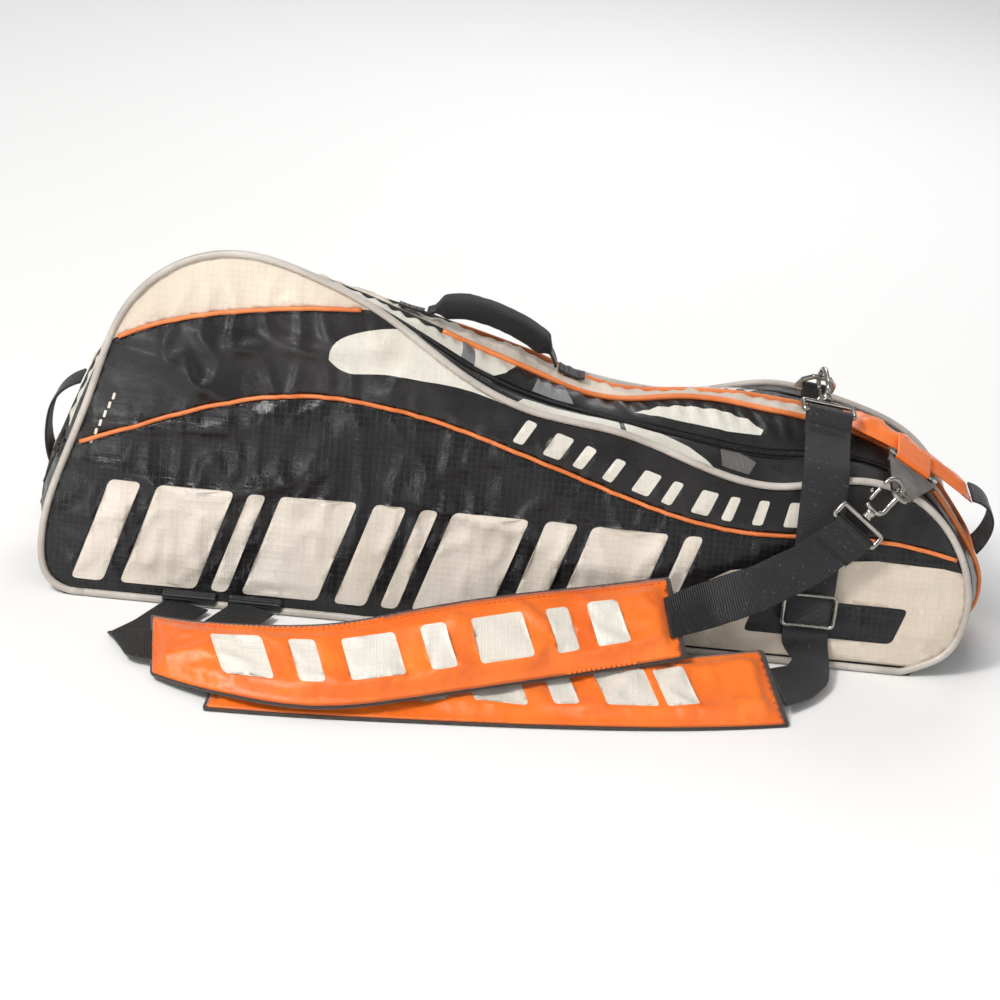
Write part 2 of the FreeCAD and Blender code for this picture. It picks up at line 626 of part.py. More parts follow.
def make_straps():
    """Both shoulder straps: pads, mesh linings and runs of webbing, and their tabs on the bag."""
    for name, low, high in (("strap_a", PAD_A_LOWER_EDGE, PAD_A_UPPER_EDGE),
                            ("strap_b", PAD_B_LOWER_EDGE, PAD_B_UPPER_EDGE)):
        save(name + "_pad", pad_layer(low, high, PAD_T, LINING_T / 2))
        save(name + "_pad_lining", pad_layer(low, high, LINING_T, -PAD_T / 2))
    right = sleeved_webbing(WEBBING_A_RIGHT, HOOK_A_POST, HOOK_A_AXIS, HOOK_A_ACROSS)
    save("strap_a_webbing_right", right)
    upper = sleeved_webbing(WEBBING_B_UPPER, HOOK_B_POST, HOOK_B_AXIS, HOOK_B_ACROSS)
    save("strap_b_webbing_upper", upper)
    drop = ribbon(WEBBING_B_DROP, WEBBING_WIDTH, WEBBING_T)
    turn = ribbon(WEBBING_B_TURN, WEBBING_WIDTH, WEBBING_T)
    save("strap_b_webbing_lower", drop.fuse(turn).removeSplitter())
    save("strap_a_webbing_left", folded_ribbon(WEBBING_A_LEFT, WEBBING_WIDTH, WEBBING_T))
    save("strap_b_webbing_left", folded_ribbon(WEBBING_B_LEFT, WEBBING_WIDTH, WEBBING_T))
    tabs = [Part.makeBox(44, 5, 12, Vector(x - 22, -HALF_WIDTH - 5, 1.0)) for x in STRAP_TAB_XS]
    save("strap_anchor_tabs", Part.makeCompound(tabs))


def make_adjuster():
    """Ladder adjuster: a frame in front of the webbing and a centre bar behind it."""
    half_w = ADJUSTER_WIDTH / 2 - 2
    half_h = ADJUSTER_HEIGHT / 2 - 2
    bar_r = 1.5
    front = ADJUSTER_CENTRE + Vector(0, -(WEBBING_T / 2 + FIT_GAP + bar_r), 0)
    behind = ADJUSTER_CENTRE + Vector(0, WEBBING_T / 2 + FIT_GAP + bar_r, 0)
    corners = [front + Vector(x, 0, z) for x, z in ((-half_w, -half_h), (half_w, -half_h),
                                                     (half_w, half_h), (-half_w, half_h))]
    frame = wire_loop(corners, bar_r)
    for side in (-1, 1):
        lug_start = front + Vector(side * half_w, 0, 0)
        frame = frame.fuse(rod(lug_start, behind + Vector(side * half_w, 0, 0), bar_r))
    bar = rod(behind - Vector(half_w, 0, 0), behind + Vector(half_w, 0, 0), bar_r)
    save("adjuster_bar", bar)
    save("adjuster_frame", frame.cut(bar).removeSplitter())


def make_d_ring():
    """D-ring for strap B's hook, and the tab that holds its straight side on the spine."""
    across = HOOK_B_ACROSS
    rim = HOOK_B_POST + HOOK_B_AXIS * (HOOK_LENGTH - 7.0)
    rise = Vector(-0.10, -0.62, 0.78)
    rise = (rise - across * rise.dot(across)).normalize()
    base = rim - rise * 18.0
    half = across * 15.0
    outline = [base - half, base + half, base + half * 0.9 + rise * 10, rim + half * 0.45,
               rim - half * 0.45, base - half * 0.9 + rise * 10]
    save("d_ring", wire_loop(outline, WIRE_R))
    tube, bore = webbing_sleeve(base, across, 20.0, WIRE_R)
    foot = rail_solid([
        [base - across * 10 + Vector(0, y, z), base + across * 10 + Vector(0, y, z)]
        for y, z in D_RING_FOOT])
    save("d_ring_tab", tube.fuse(foot).cut(bore).removeSplitter())


def make_haul_loop():
    """Webbing loop at the wide end, for lifting the bag upright."""
    save("end_haul_loop", strip_xz(HAUL_LOOP_LINE, DIVIDER_Y, HAUL_LOOP_WIDTH, 2.2))


def main():
    os.makedirs("parts", exist_ok=True)
    front = front_rail(FRONT_OUTLINE)
    rear = rear_rail(REAR_OUTLINE)
    spine_front = flat_rail(SPINE_FRONT_OUTLINE, SPINE_FRONT_Y)
    spine_rear = flat_rail(SPINE_REAR_OUTLINE, SPINE_REAR_Y)
    make_base()
    lower, upper = make_side("front", front, PANEL_T, -1, 1.0)
    save("front_seam_piping_lower", lower)
    save("front_seam_piping_upper", upper)
    lower, upper = make_side("rear", rear, -PANEL_T, 1, REAR_HUMP_SHARE)
    save("rear_seam_pipings", Part.makeCompound([lower, upper]))
    front_zip = make_zip("front", shifted(front, PANEL_T), spine_front)
    make_front_zip(*front_zip)
    rear_zip = make_zip("rear", shifted(rear, -PANEL_T), spine_rear)
    make_rear_zip(*rear_zip)
    for name, line in (("front_zip", front_zip[0]), ("rear_zip", rear_zip[0])):
        make_slider(name, *slider_place(line))
    make_spine(spine_front, spine_rear)
    make_handle()
    make_end_grip()
    make_tri_ring()
    make_snap_hook("hook_a", HOOK_A_POST, HOOK_A_AXIS, HOOK_A_ACROSS, HOOK_A_ACROSS)
    make_snap_hook("hook_b", HOOK_B_POST, HOOK_B_AXIS, HOOK_B_ACROSS, HOOK_B_BOW_ACROSS)
    make_straps()
    make_adjuster()
    make_d_ring()
    make_haul_loop()


main()
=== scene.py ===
import math

import bpy
import numpy as np
from mathutils import Matrix, Vector, noise
from mathutils.geometry import delaunay_2d_cdt


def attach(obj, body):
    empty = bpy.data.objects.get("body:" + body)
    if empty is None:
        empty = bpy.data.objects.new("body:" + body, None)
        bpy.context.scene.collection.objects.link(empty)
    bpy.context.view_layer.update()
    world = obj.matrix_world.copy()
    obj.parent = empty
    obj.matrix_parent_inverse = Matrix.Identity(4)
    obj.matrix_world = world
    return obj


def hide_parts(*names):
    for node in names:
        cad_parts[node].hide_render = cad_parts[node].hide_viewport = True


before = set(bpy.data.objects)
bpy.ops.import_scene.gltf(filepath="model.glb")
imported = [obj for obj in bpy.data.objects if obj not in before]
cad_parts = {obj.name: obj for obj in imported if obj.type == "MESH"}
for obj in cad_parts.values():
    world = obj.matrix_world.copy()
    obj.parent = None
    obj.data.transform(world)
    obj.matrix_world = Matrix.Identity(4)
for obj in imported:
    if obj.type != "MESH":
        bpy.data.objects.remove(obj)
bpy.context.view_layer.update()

# Sizes in millimetres, as in the CAD part; meshes are scaled to metres when they are made
MM = 0.001
HALF_WIDTH = 105.0
LEAN = math.tan(math.radians(10.0))
FLOOR_Z = 3.0
PANEL_T = 4.0
SPINE_FRONT_Y = -22.0
SPINE_REAR_Y = 26.0
DIVIDER_Y = 2.0
ZIP_GAP = 8.0
WEBBING_WIDTH = 38.0
FRONT, REAR = -1, 1
PATTERN_HEIGHT = {FRONT: 1.0, REAR: 0.80}
CLOTH_T = 1.2
CLOTH_STEP = 4.2
LINE_STEP = 4.0

# Rails and outlines are (x, z) points of smooth lines; the footprint's are (x, y)

FRONT_OUTLINE = [
    (-330, 3), (-354, 14), (-361, 45), (-347, 110), (-326, 175), (-303, 240), (-268, 275),
    (-215, 290), (-160, 279), (-100, 254), (-35, 213), (25, 188), (100, 177), (175, 154),
    (230, 146), (300, 157), (350, 142), (385, 102), (395, 62), (380, 20), (363, 10.4), (345, 3)]
SPINE_FRONT_OUTLINE = [
    (-345, 3), (-368, 14), (-374, 45), (-357, 112), (-332, 175), (-302, 228), (-265, 262),
    (-212, 274), (-158, 264), (-95, 244), (-35, 222), (25, 201), (90, 184), (155, 192),
    (215, 188), (285, 177), (345, 148), (396, 90), (415, 52), (405, 16), (388, 8.6), (370, 3)]
SPINE_REAR_OUTLINE = [
    (-345, 3), (-368, 14), (-374, 45), (-358, 108), (-334, 165), (-305, 210), (-268, 239),
    (-212, 251), (-155, 243), (-92, 230), (-35, 215), (25, 198), (90, 177), (155, 179),
    (215, 180), (285, 170), (345, 145), (396, 90), (415, 52), (405, 16), (388, 8.6), (370, 3)]
REAR_OUTLINE = [
    (-330, 3), (-354, 14), (-361, 45), (-347, 105), (-327, 155), (-303, 197), (-266, 224),
    (-215, 233), (-158, 225), (-98, 211), (-35, 192), (25, 174), (100, 158), (165, 158),
    (225, 173), (290, 163), (350, 138), (385, 98), (395, 60), (380, 20), (363, 10.4), (345, 3)]
LOWER_SEAM = [(-375, 110), (-279, 151), (-200, 177), (-120, 184), (-38, 171), (88, 133),
              (204, 108), (318, 111), (420, 90)]
UPPER_SEAM = [(-375, 165), (-284, 228), (-205, 248), (-130, 256), (-60, 256)]
BASE_FOOTPRINT = [(-342, -105), (357, -105), (376, -22), (376, 26),
                  (357, 105), (-342, 105), (-351, 26), (-351, -22)]

# Pads by the (x, y, z) points of their long edges; webbing by (middle, width direction)
PAD_A_LOWER_EDGE = [(-248, -235, 9), (-176, -268, 15), (-106, -270, 15), (-54, -256, 19),
                    (22, -230, 24), (99, -199, 29), (164, -178, 38)]
PAD_A_UPPER_EDGE = [(-260, -163, 20), (-189, -200, 39), (-111, -207, 51), (-61, -198, 61),
                    (16, -172, 72), (91, -138, 72), (148, -117, 74)]
PAD_B_LOWER_EDGE = [(-200, -272, 5), (-128, -268, 5), (-52, -261, 5), (25, -253, 5),
                    (102, -243, 5), (181, -228, 5), (248, -209, 5)]
PAD_B_UPPER_EDGE = [(-196, -200, 8), (-124, -197, 9), (-50, -190, 11), (24, -182, 14),
                    (99, -173, 20), (172, -163, 29), (228, -150, 33)]
WEBBING_A_RIGHT = [((150, -152, 56), (-0.20, 0.85, 0.49)), ((185, -128, 60), (-0.30, 0.55, 0.78)),
                   ((222, -114, 71), (-0.38, 0.25, 0.89)), ((260, -110, 95), (-0.55, 0.08, 0.83)),
                   ((290, -108, 125.4), (-0.785, 0.0, 0.62))]
WEBBING_B_UPPER = [((268, -40, 195.6), (0.985, 0.0, -0.17)), ((267, -60, 183), (0.985, 0.0, -0.17)),
                   ((267, -82, 167), (0.99, 0.0, -0.10)), ((267, -95, 135), (1.0, 0.0, 0.0)),
                   ((267, -102, 110), (1.0, 0.0, 0.0)), ((267, -104, 92), (1.0, 0.0, 0.0))]
WEBBING_B_LOWER = [((267, -104, 92), (1.0, 0.0, 0.0)), ((267, -104, 57), (1.0, 0.0, 0.0)),
                   ((267, -104, 22), (1.0, 0.0, 0.0)), ((270, -113, 14), (0.95, -0.30, -0.08)),
                   ((272, -134, 11), (0.75, -0.64, -0.18)), ((261, -158, 13), (0.50, -0.82, -0.28)),
                   ((242, -177, 17), (0.36, -0.85, -0.38))]
WEBBING_A_LEFT = [((-248, -199, 15), (-0.16, 0.97, 0.16)), ((-270, -196, 11), (-0.16, 0.98, 0.10)),
                  ((-284, -190, 6), (-0.45, 0.89, 0.0)), ((-278, -180, 2.2), (-0.85, 0.52, 0.0)),
                  ((-260, -152, 2.2), (-0.85, 0.52, 0.0)), ((-238, -112, 5), (-0.92, 0.38, 0.0))]
WEBBING_B_LEFT = [((-192, -236, 6.5), (0.06, 0.99, 0.02)), ((-216, -225, 6.5), (0.55, 0.83, 0.0)),
                  ((-222, -190, 7), (0.98, 0.20, 0.0)), ((-204, -152, 7), (0.93, -0.36, 0.0)),
                  ((-184, -112, 7), (0.93, -0.36, 0.0))]
HANDLE_LINE = [(-66, 237), (-59, 240), (-49, 243), (-30, 244),
               (-6, 238), (19, 227), (37, 214), (43, 202)]
END_PAD_LINE = [(284, 186), (315, 174), (345, 158), (372, 142), (400, 124)]
END_LOOP_LINE = [(400, 124), (412, 119), (420, 107), (419, 91), (411, 76)]
HAUL_LOOP_LINE = [(-349, 150), (-366, 138), (-375, 118), (-377, 95), (-373, 76)]


# ---------------------------------------------------------------- curves and noise

def curve(points):
    """A smooth line through the points: a function of point number, whole or in between."""
    p = np.array(points, float)
    count = len(p)
    gap = np.linalg.norm(np.diff(p, axis=0), axis=1)
    slope = np.diff(p, axis=0) / gap[:, None]
    matrix = np.zeros((count, count))
    wanted = np.zeros_like(p)
    matrix[0, 0] = matrix[-1, -1] = 1.0
    wanted[0] = slope[0] - (slope[1] - slope[0]) * gap[0] / (gap[0] + gap[1])
    wanted[-1] = slope[-1] + (slope[-1] - slope[-2]) * gap[-1] / (gap[-1] + gap[-2])
    for i in range(1, count - 1):
        matrix[i, i - 1:i + 2] = gap[i], 2 * (gap[i - 1] + gap[i]), gap[i - 1]
        wanted[i] = 3 * (gap[i] * slope[i - 1] + gap[i - 1] * slope[i])
    tangent = np.linalg.solve(matrix, wanted)

    def at(s):
        s = np.atleast_1d(np.asarray(s, float))
        k = np.clip(s.astype(int), 0, count - 2)
        t = (s - k)[:, None]
        h = gap[k][:, None]
        return ((2 * t**3 - 3 * t**2 + 1) * p[k] + (t**3 - 2 * t**2 + t) * h * tangent[k]
                + (3 * t**2 - 2 * t**3) * p[k + 1] + (t**3 - t**2) * h * tangent[k + 1])
    return at


def along_line(points):
    """Distance along a line, at each of its points."""
    return np.concatenate([[0], np.cumsum(np.linalg.norm(np.diff(points, axis=0), axis=1))])


def unit(vector):
    """One vector, scaled to length one."""
    vector = np.array(vector, float)
    return vector / np.linalg.norm(vector)


def unit_rows(vectors):
    """The rows of an array, each scaled to length one."""
    return vectors / np.linalg.norm(vectors, axis=1)[:, None]


def directions(points):
    """The unit direction of a line, at each of its points."""
    return unit_rows(np.gradient(points, axis=0))


def read_off(stops, along, rows):
    """Rows of values known at distances along a line, read off at other distances."""
    return np.stack([np.interp(stops, along, column) for column in np.transpose(rows)], 1)


def even(points, step):
    """Evenly spaced points along the smooth line through a few points."""
    line = curve(points)
    fine = np.linspace(0, len(points) - 1, 60 * len(points))
    length = along_line(line(fine))
    stops = np.linspace(0, length[-1], max(int(length[-1] / step), 2) + 1)
    return line(np.interp(stops, length, fine))


def noise_at(points, scale, stretch=(1, 1, 1), seed=0.0):
    """Smooth noise of about -1 to 1 at each point; scale is the size of its swells in mm."""
    k = np.array(stretch, float) / scale
    q = points * k + np.array([seed * 13.7, seed * 7.3, seed * 3.1])
    return np.array([noise.noise(Vector(v)) for v in q])


def folds(points, scale, stretch=(1, 1, 1), seed=0.0):
    """Sharp-crested folds, 0 to 1, as cloth has where it is slack."""
    ridge = 1.0 - np.abs(noise_at(points, scale, stretch, seed)) * 2.2
    return np.clip(ridge, 0, 1) ** 2


def nearest(points, line, batch=2000):
    """Distance from each point to the closest point of a line, worked out in batches."""
    found = []
    for start in range(0, len(points), batch):
        gaps = points[start:start + batch, None, :] - line[None, :, :]
        found.append(np.linalg.norm(gaps, axis=2).min(axis=1))
    return np.concatenate(found)


def smooth_step(x, low, high):
    """0 up to low and 1 from high on, with a smooth rise between them."""
    t = np.clip((x - low) / (high - low), 0, 1)
    return t * t * (3 - 2 * t)


# ---------------------------------------------------------------- materials

# A wave texture of scale 1 has a rib every 0.314159 m
WAVE_PERIOD = 0.314159
RIP_SQUARE = 0.0052


def scaled(color, factor):
    """A colour made lighter or darker."""
    return tuple(c * factor for c in color)


class Nodes:
    """Short way to build a procedural material; 'flat' is the cloth's own place in metres."""

    def __init__(self, name, rough, **sockets):
        self.mat = bpy.data.materials.new(name)
        self.mat.use_nodes = True
        self.tree = self.mat.node_tree
        self.shader = self.tree.nodes["Principled BSDF"]
        for socket, value in {"Roughness": rough, **sockets}.items():
            self.shader.inputs[socket.replace("_", " ")].default_value = value

    def add(self, kind, **values):
        """A new node; a value goes to the property of that name, or else to the socket."""
        node = self.tree.nodes.new(kind)
        for key, value in values.items():
            if hasattr(node, key):
                setattr(node, key, value)
            else:
                node.inputs[key.replace("_", " ")].default_value = value
        return node

    def feed(self, value, socket):
        """Gives a socket a link, a colour or a number."""
        if hasattr(value, "is_output"):
            self.tree.links.new(value, socket)
        else:
            socket.default_value = (*value, 1.0) if socket.type == "RGBA" else value

    def place(self, scale=(1, 1, 1), flat=False, turn=0.0):
        """Where a point is, in the object or on the flat cloth."""
        if flat:
            source = self.add("ShaderNodeAttribute", attribute_name="flat").outputs["Vector"]
        else:
            source = self.add("ShaderNodeTexCoord").outputs["Object"]
        mapping = self.add("ShaderNodeMapping", Scale=scale, Rotation=(0, 0, turn))
        self.feed(source, mapping.inputs["Vector"])
        return mapping.outputs["Vector"]

    def noise(self, scale, detail, *place, **turn):
        """Cloudy noise with the given number of swells per metre."""
        node = self.add("ShaderNodeTexNoise", Scale=scale, Detail=detail)
        self.feed(self.place(*place, **turn), node.inputs["Vector"])
        return node.outputs["Fac"]

    def wave(self, place, period, direction, warp=0.0):
        """Straight ribs with the given period in metres."""
        node = self.add("ShaderNodeTexWave", Scale=WAVE_PERIOD / period, Distortion=warp)
        node.bands_direction = direction
        self.feed(place, node.inputs["Vector"])
        return node.outputs["Fac"]

    def rip_grid(self, flat):
        """The raised threads of ripstop, along and across the cloth."""
        ribs = [self.math("POWER", self.wave(flat, RIP_SQUARE, axis), 14.0) for axis in "XY"]
        return self.math("MAXIMUM", *ribs)

    def weave(self, flat, period):
        """A fine plain weave."""
        return self.math("MULTIPLY", self.wave(flat, period, "X"), self.wave(flat, period, "Y"))

    def ramp(self, value, low, high, start, end):
        """A grey of low where the value is start or less, and of high where it is end or more."""
        node = self.add("ShaderNodeValToRGB")
        for element, at, grey in zip(node.color_ramp.elements, (start, end), (low, high)):
            element.position = at
            element.color = (grey, grey, grey, 1.0)
        self.feed(value, node.inputs["Fac"])
        return node.outputs["Color"]

    def math(self, operation, a, b):
        """One arithmetic operation on two values."""
        node = self.add("ShaderNodeMath", operation=operation)
        self.feed(a, node.inputs[0])
        self.feed(b, node.inputs[1])
        return node.outputs["Value"]

    def mix(self, factor, a, b):
        """Colour a where the factor is 0 and colour b where it is 1."""
        node = self.add("ShaderNodeMix", data_type="RGBA")
        self.feed(factor, node.inputs["Factor"])
        for socket, value in zip([s for s in node.inputs if s.type == "RGBA"], (a, b)):
            self.feed(value, socket)
        return [s for s in node.outputs if s.type == "RGBA"][0]

    def patches(self, value, amount, start, end, a, b):
        """Colour a, with up to the given amount of colour b where the value is high."""
        return self.mix(self.ramp(value, 0, amount, start, end), a, b)

    def color(self, socket):
        """The material's colour."""
        self.feed(socket, self.shader.inputs["Base Color"])

    def rough(self, value, low, high, start, end):
        """The material's roughness: low where the value is start or less, high from end on."""
        self.feed(self.ramp(value, low, high, start, end), self.shader.inputs["Roughness"])

    def bump(self, height, depth):
        """Relief on the surface; depth in metres. Calls stack on each other."""
        node = self.add("ShaderNodeBump", Strength=1.0, Distance=depth)
        self.feed(height, node.inputs["Height"])
        before = self.shader.inputs["Normal"].links
        if before:
            self.feed(before[0].from_socket, node.inputs["Normal"])
        self.feed(node.outputs["Normal"], self.shader.inputs["Normal"])


def ripstop(name, low, high, rough, coat, shade, grid=0.3, crinkle=0.0009):
    """Coated ripstop cloth: fine weave, a raised thread grid, soft crinkles and scuffs."""
    m = Nodes(name, rough, Coat_Weight=coat, Coat_Roughness=0.28, Specular_IOR_Level=0.34)
    flat = m.place(flat=True)
    lines = m.rip_grid(flat)
    scuff = m.noise(55.0, 6.0)
    cloth = m.patches(m.noise(9.0, 4.0), 1, 0.35, 0.7, low, high)
    cloth = m.mix(m.math("MULTIPLY", lines, grid), cloth, scaled(high, shade))
    rubbed = tuple(min(c * 1.7 + 0.01, 1) for c in high)
    m.color(m.patches(scuff, 0.35, 0.62, 0.78, cloth, rubbed))
    m.rough(scuff, rough - 0.12, rough + 0.14, 0.3, 0.75)
    m.bump(m.noise(60.0, 5.0), crinkle)
    m.bump(lines, 0.00009)
    m.bump(m.weave(flat, 0.0007), 0.00004)
    return m.mat


def nylon(name, low, high, rough, crinkle):
    """Smooth coated nylon that shines along its small wrinkles."""
    m = Nodes(name, rough, Coat_Weight=0.14, Coat_Roughness=0.22, Specular_IOR_Level=0.34)
    m.color(m.patches(m.noise(12.0, 5.0), 1, 0.3, 0.72, low, high))
    m.rough(m.noise(40.0, 4.0), rough - 0.1, rough + 0.14, 0.3, 0.7)
    m.bump(m.noise(38.0, 5.0, (1, 1, 2.5)), crinkle)
    m.bump(m.weave(m.place(flat=True), 0.0006), 0.00004)
    return m.mat


def print_film(name, color, rough=0.45, wear=0.22):
    """Rubbery print, slightly yellowed, with the weave showing through and worn specks."""
    m = Nodes(name, rough, Coat_Weight=0.12, Coat_Roughness=0.35)
    yellowed = tuple(c * share for c, share in zip(color, (0.9, 0.87, 0.82)))
    clean = m.patches(m.noise(16.0, 5.0), 1, 0.3, 0.75, color, yellowed)
    m.color(m.patches(m.noise(170.0, 5.0), wear, 0.58, 0.74, clean, scaled(color, 0.55)))
    m.bump(m.noise(60.0, 5.0), 0.0006)
    m.bump(m.rip_grid(m.place(flat=True)), 0.00014)
    return m.mat


def satin(name, low, high, deep):
    """Vivid satin nylon over foam: bright sheen, small dents and a fine twill."""
    m = Nodes(name, 0.36, Sheen_Weight=0.25, Sheen_Roughness=0.4, Coat_Weight=0.18,
              Coat_Roughness=0.3)
    base = m.patches(m.noise(18.0, 5.0), 1, 0.3, 0.72, low, high)
    stain = m.noise(45.0, 6.0)
    m.color(m.patches(stain, 0.3, 0.6, 0.8, base, deep))
    m.rough(stain, 0.28, 0.5, 0.3, 0.7)
    m.bump(m.noise(75.0, 5.0), 0.0008)
    m.bump(m.wave(m.place(flat=True, turn=0.78), 0.0005, "X"), 0.00005)
    return m.mat


def webbing_cloth(name, low, high, rib=0.0022):
    """Woven webbing: ribs across the strap, twill threads, woven selvedges and lint."""
    m = Nodes(name, 0.42, Sheen_Weight=0.06, Sheen_Roughness=0.4)
    flat = m.place(flat=True)
    ribs = m.wave(flat, rib, "X", 0.15)
    lint = m.noise(420.0, 3.0)
    broad = m.noise(20.0, 4.0)
    base = m.mix(m.math("MULTIPLY", ribs, 0.8), low, high)
    base = m.patches(broad, 0.4, 0.4, 0.7, base, scaled(high, 1.5))
    m.color(m.patches(lint, 0.5, 0.66, 0.74, base, (0.24, 0.24, 0.25)))
    m.rough(broad, 0.32, 0.54, 0.3, 0.7)
    m.bump(ribs, 0.00035)
    m.bump(m.wave(flat, 0.0009, "Y", 0.3), 0.00012)
    m.bump(lint, 0.00015)
    return m.mat


def fuzzy(name, low, high, lint_color):
    """Brushed black cloth with dust and short fibres on it."""
    m = Nodes(name, 0.9, Sheen_Weight=0.08, Sheen_Roughness=0.5)
    broad = m.noise(30.0, 4.0)
    base = m.patches(broad, 1, 0.3, 0.7, low, high)
    fibre = m.noise(260.0, 2.0, (1, 1, 4), turn=0.5)
    m.color(m.patches(fibre, 0.55, 0.7, 0.76, base, lint_color))
    m.bump(m.noise(900.0, 4.0), 0.0004)
    m.bump(broad, 0.0008)
    return m.mat


def mesh_cloth(name, low, high, cell):
    """Spacer mesh: small round holes in rows."""
    m = Nodes(name, 0.8, Sheen_Weight=0.2)
    cells = m.add("ShaderNodeTexVoronoi", Scale=1.0 / cell, Randomness=0.15)
    m.feed(m.place(), cells.inputs["Vector"])
    hole = m.ramp(cells.outputs["Distance"], 0, 1, 0.15, 0.45)
    m.color(m.mix(hole, low, high))
    m.bump(hole, 0.0005)
    return m.mat


def cord_cloth(name, low, high, rough):
    """Woven or vinyl piping: fine cross threads, rubbed lighter and darker along its length."""
    m = Nodes(name, rough, Coat_Weight=0.1)
    base = m.patches(m.noise(25.0, 5.0), 1, 0.35, 0.7, low, high)
    m.color(m.patches(m.noise(140.0, 5.0), 0.4, 0.6, 0.76, base, scaled(low, 0.45)))
    m.bump(m.wave(m.place(flat=True), 0.0011, "X", 0.2), 0.00008)
    m.bump(m.noise(120.0, 4.0), 0.0003)
    return m.mat


def metal(name, color, rough=0.2, wear=(0.5, 0.48, 0.45)):
    """Nickel-plated die casting: fine scratches and rubbed, slightly dulled patches."""
    m = Nodes(name, rough, Metallic=1.0)
    broad = m.noise(60.0, 4.0)
    scratch = m.noise(300.0, 4.0, (1, 6, 1), turn=0.4)
    m.color(m.patches(broad, 1, 0.35, 0.7, color, wear))
    m.rough(scratch, rough - 0.08, rough + 0.16, 0.35, 0.7)
    m.bump(scratch, 0.00004)
    m.bump(broad, 0.0002)
    return m.mat


def moulded(name, color, rough):
    """Moulded plastic or thread with a slight grain."""
    m = Nodes(name, rough)
    grain = m.noise(500.0, 4.0)
    m.color(m.mix(grain, color, tuple(c * 1.5 + 0.005 for c in color)))
    m.bump(grain, 0.0001)
    return m.mat


FINISHES = {
    "ripstop_black": (ripstop, (0.003, 0.003, 0.0035), (0.009, 0.0085, 0.0095),
                      0.30, 0.12, 2.6, 0.6, 0.0014),
    "ripstop_cream": (ripstop, (0.57, 0.48, 0.385), (0.69, 0.60, 0.50), 0.5, 0.1, 0.8),
    "nylon_charcoal": (nylon, (0.007, 0.0065, 0.007), (0.020, 0.018, 0.018), 0.28, 0.0012),
    "gusset_dark": (nylon, (0.006, 0.006, 0.0065), (0.020, 0.0185, 0.0185), 0.32, 0.0009),
    "vinyl_pale": (cord_cloth, (0.40, 0.36, 0.32), (0.56, 0.52, 0.47), 0.34),
    "cord_orange": (cord_cloth, (0.62, 0.15, 0.03), (0.80, 0.24, 0.07), 0.4),
    "print_white": (print_film, (0.66, 0.64, 0.58)),
    "print_cream": (print_film, (0.70, 0.64, 0.57)),
    "print_grey": (print_film, (0.20, 0.20, 0.21)),
    "print_taupe": (print_film, (0.115, 0.105, 0.10)),
    "pad_print": (print_film, (0.72, 0.69, 0.63), 0.4, 0.18),
    "pad_orange": (satin, (0.80, 0.125, 0.006), (0.93, 0.20, 0.012), (0.58, 0.08, 0.005)),
    "zip_tape": (webbing_cloth, (0.004, 0.004, 0.005), (0.014, 0.014, 0.015), 0.0012),
    "webbing_black": (webbing_cloth, (0.002, 0.002, 0.0025), (0.010, 0.010, 0.0115)),
    "webbing_twill": (webbing_cloth, (0.005, 0.0055, 0.007), (0.017, 0.0175, 0.021), 0.0011),
    "mesh_black": (mesh_cloth, (0.006, 0.005, 0.005), (0.055, 0.040, 0.033), 0.0016),
    "handle_black": (fuzzy, (0.003, 0.003, 0.0035), (0.010, 0.010, 0.011), (0.10, 0.10, 0.105)),
    "lining_black": (fuzzy, (0.006, 0.006, 0.0065), (0.014, 0.014, 0.015), (0.04, 0.04, 0.04)),
    "gunmetal": (metal, (0.30, 0.285, 0.26)),
    "slider_metal": (metal, (0.035, 0.034, 0.033), 0.35, (0.10, 0.095, 0.09)),
    "zip_coil": (moulded, (0.008, 0.008, 0.009), 0.35),
    "board_black": (moulded, (0.012, 0.012, 0.012), 0.6),
    "thread_orange": (moulded, (0.60, 0.11, 0.012), 0.6),
    "thread_black": (moulded, (0.010, 0.010, 0.011), 0.6),
}
MAT = {name: make(name, *values) for name, (make, *values) in FINISHES.items()}


# ---------------------------------------------------------------- mesh makers

def add_object(name, data):
    """A new object in the scene."""
    made = bpy.data.objects.new(name, data)
    bpy.context.scene.collection.objects.link(made)
    return made


def finish_piece(name, verts, faces, body, mats, flat=None, marks=None, nodes=()):
    """Makes one object in metres from points in mm, puts it under its body and hides the CAD parts it
    replaces.
    """
    mesh = bpy.data.meshes.new(name)
    mesh.from_pydata((np.asarray(verts, float) * MM).tolist(), [], [list(f) for f in faces])
    for key in mats:
        mesh.materials.append(MAT[key])
    if marks is not None:
        mesh.polygons.foreach_set("material_index", np.asarray(marks, np.int32))
    mesh.polygons.foreach_set("use_smooth", np.ones(len(mesh.polygons), bool))
    if flat is not None:
        layer = mesh.attributes.new("flat", "FLOAT_VECTOR", "POINT")
        data = np.zeros((len(verts), 3))
        data[:, :2] = np.asarray(flat)[:, :2] * MM
        layer.data.foreach_set("vector", data.ravel())
    mesh.update()
    piece = add_object(name, mesh)
    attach(piece, body)
    if nodes:
        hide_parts(*nodes)
    return piece


def thicken(piece, thickness, inner=None):
    """Gives a single sheet its cloth thickness, inward; the inside may have its own lining."""
    wall = piece.modifiers.new("thickness", "SOLIDIFY")
    wall.thickness = thickness * MM
    wall.offset = -1.0
    wall.use_even_offset = False
    if inner:
        piece.data.materials.append(MAT[inner])
        wall.material_offset = 20


def frames(points):
    """A side direction and an up direction at each point of a path, without twist."""
    ahead = directions(np.asarray(points, float))
    side = np.cross(ahead[0], (0, 0, 1.0))
    if np.linalg.norm(side) < 0.1:
        side = np.cross(ahead[0], (0, 1.0, 0))
    side = unit(side)
    sides = []
    for direction in ahead:
        side = unit(side - direction * side.dot(direction))
        sides.append(side)
    return np.array(sides), np.cross(ahead, sides)


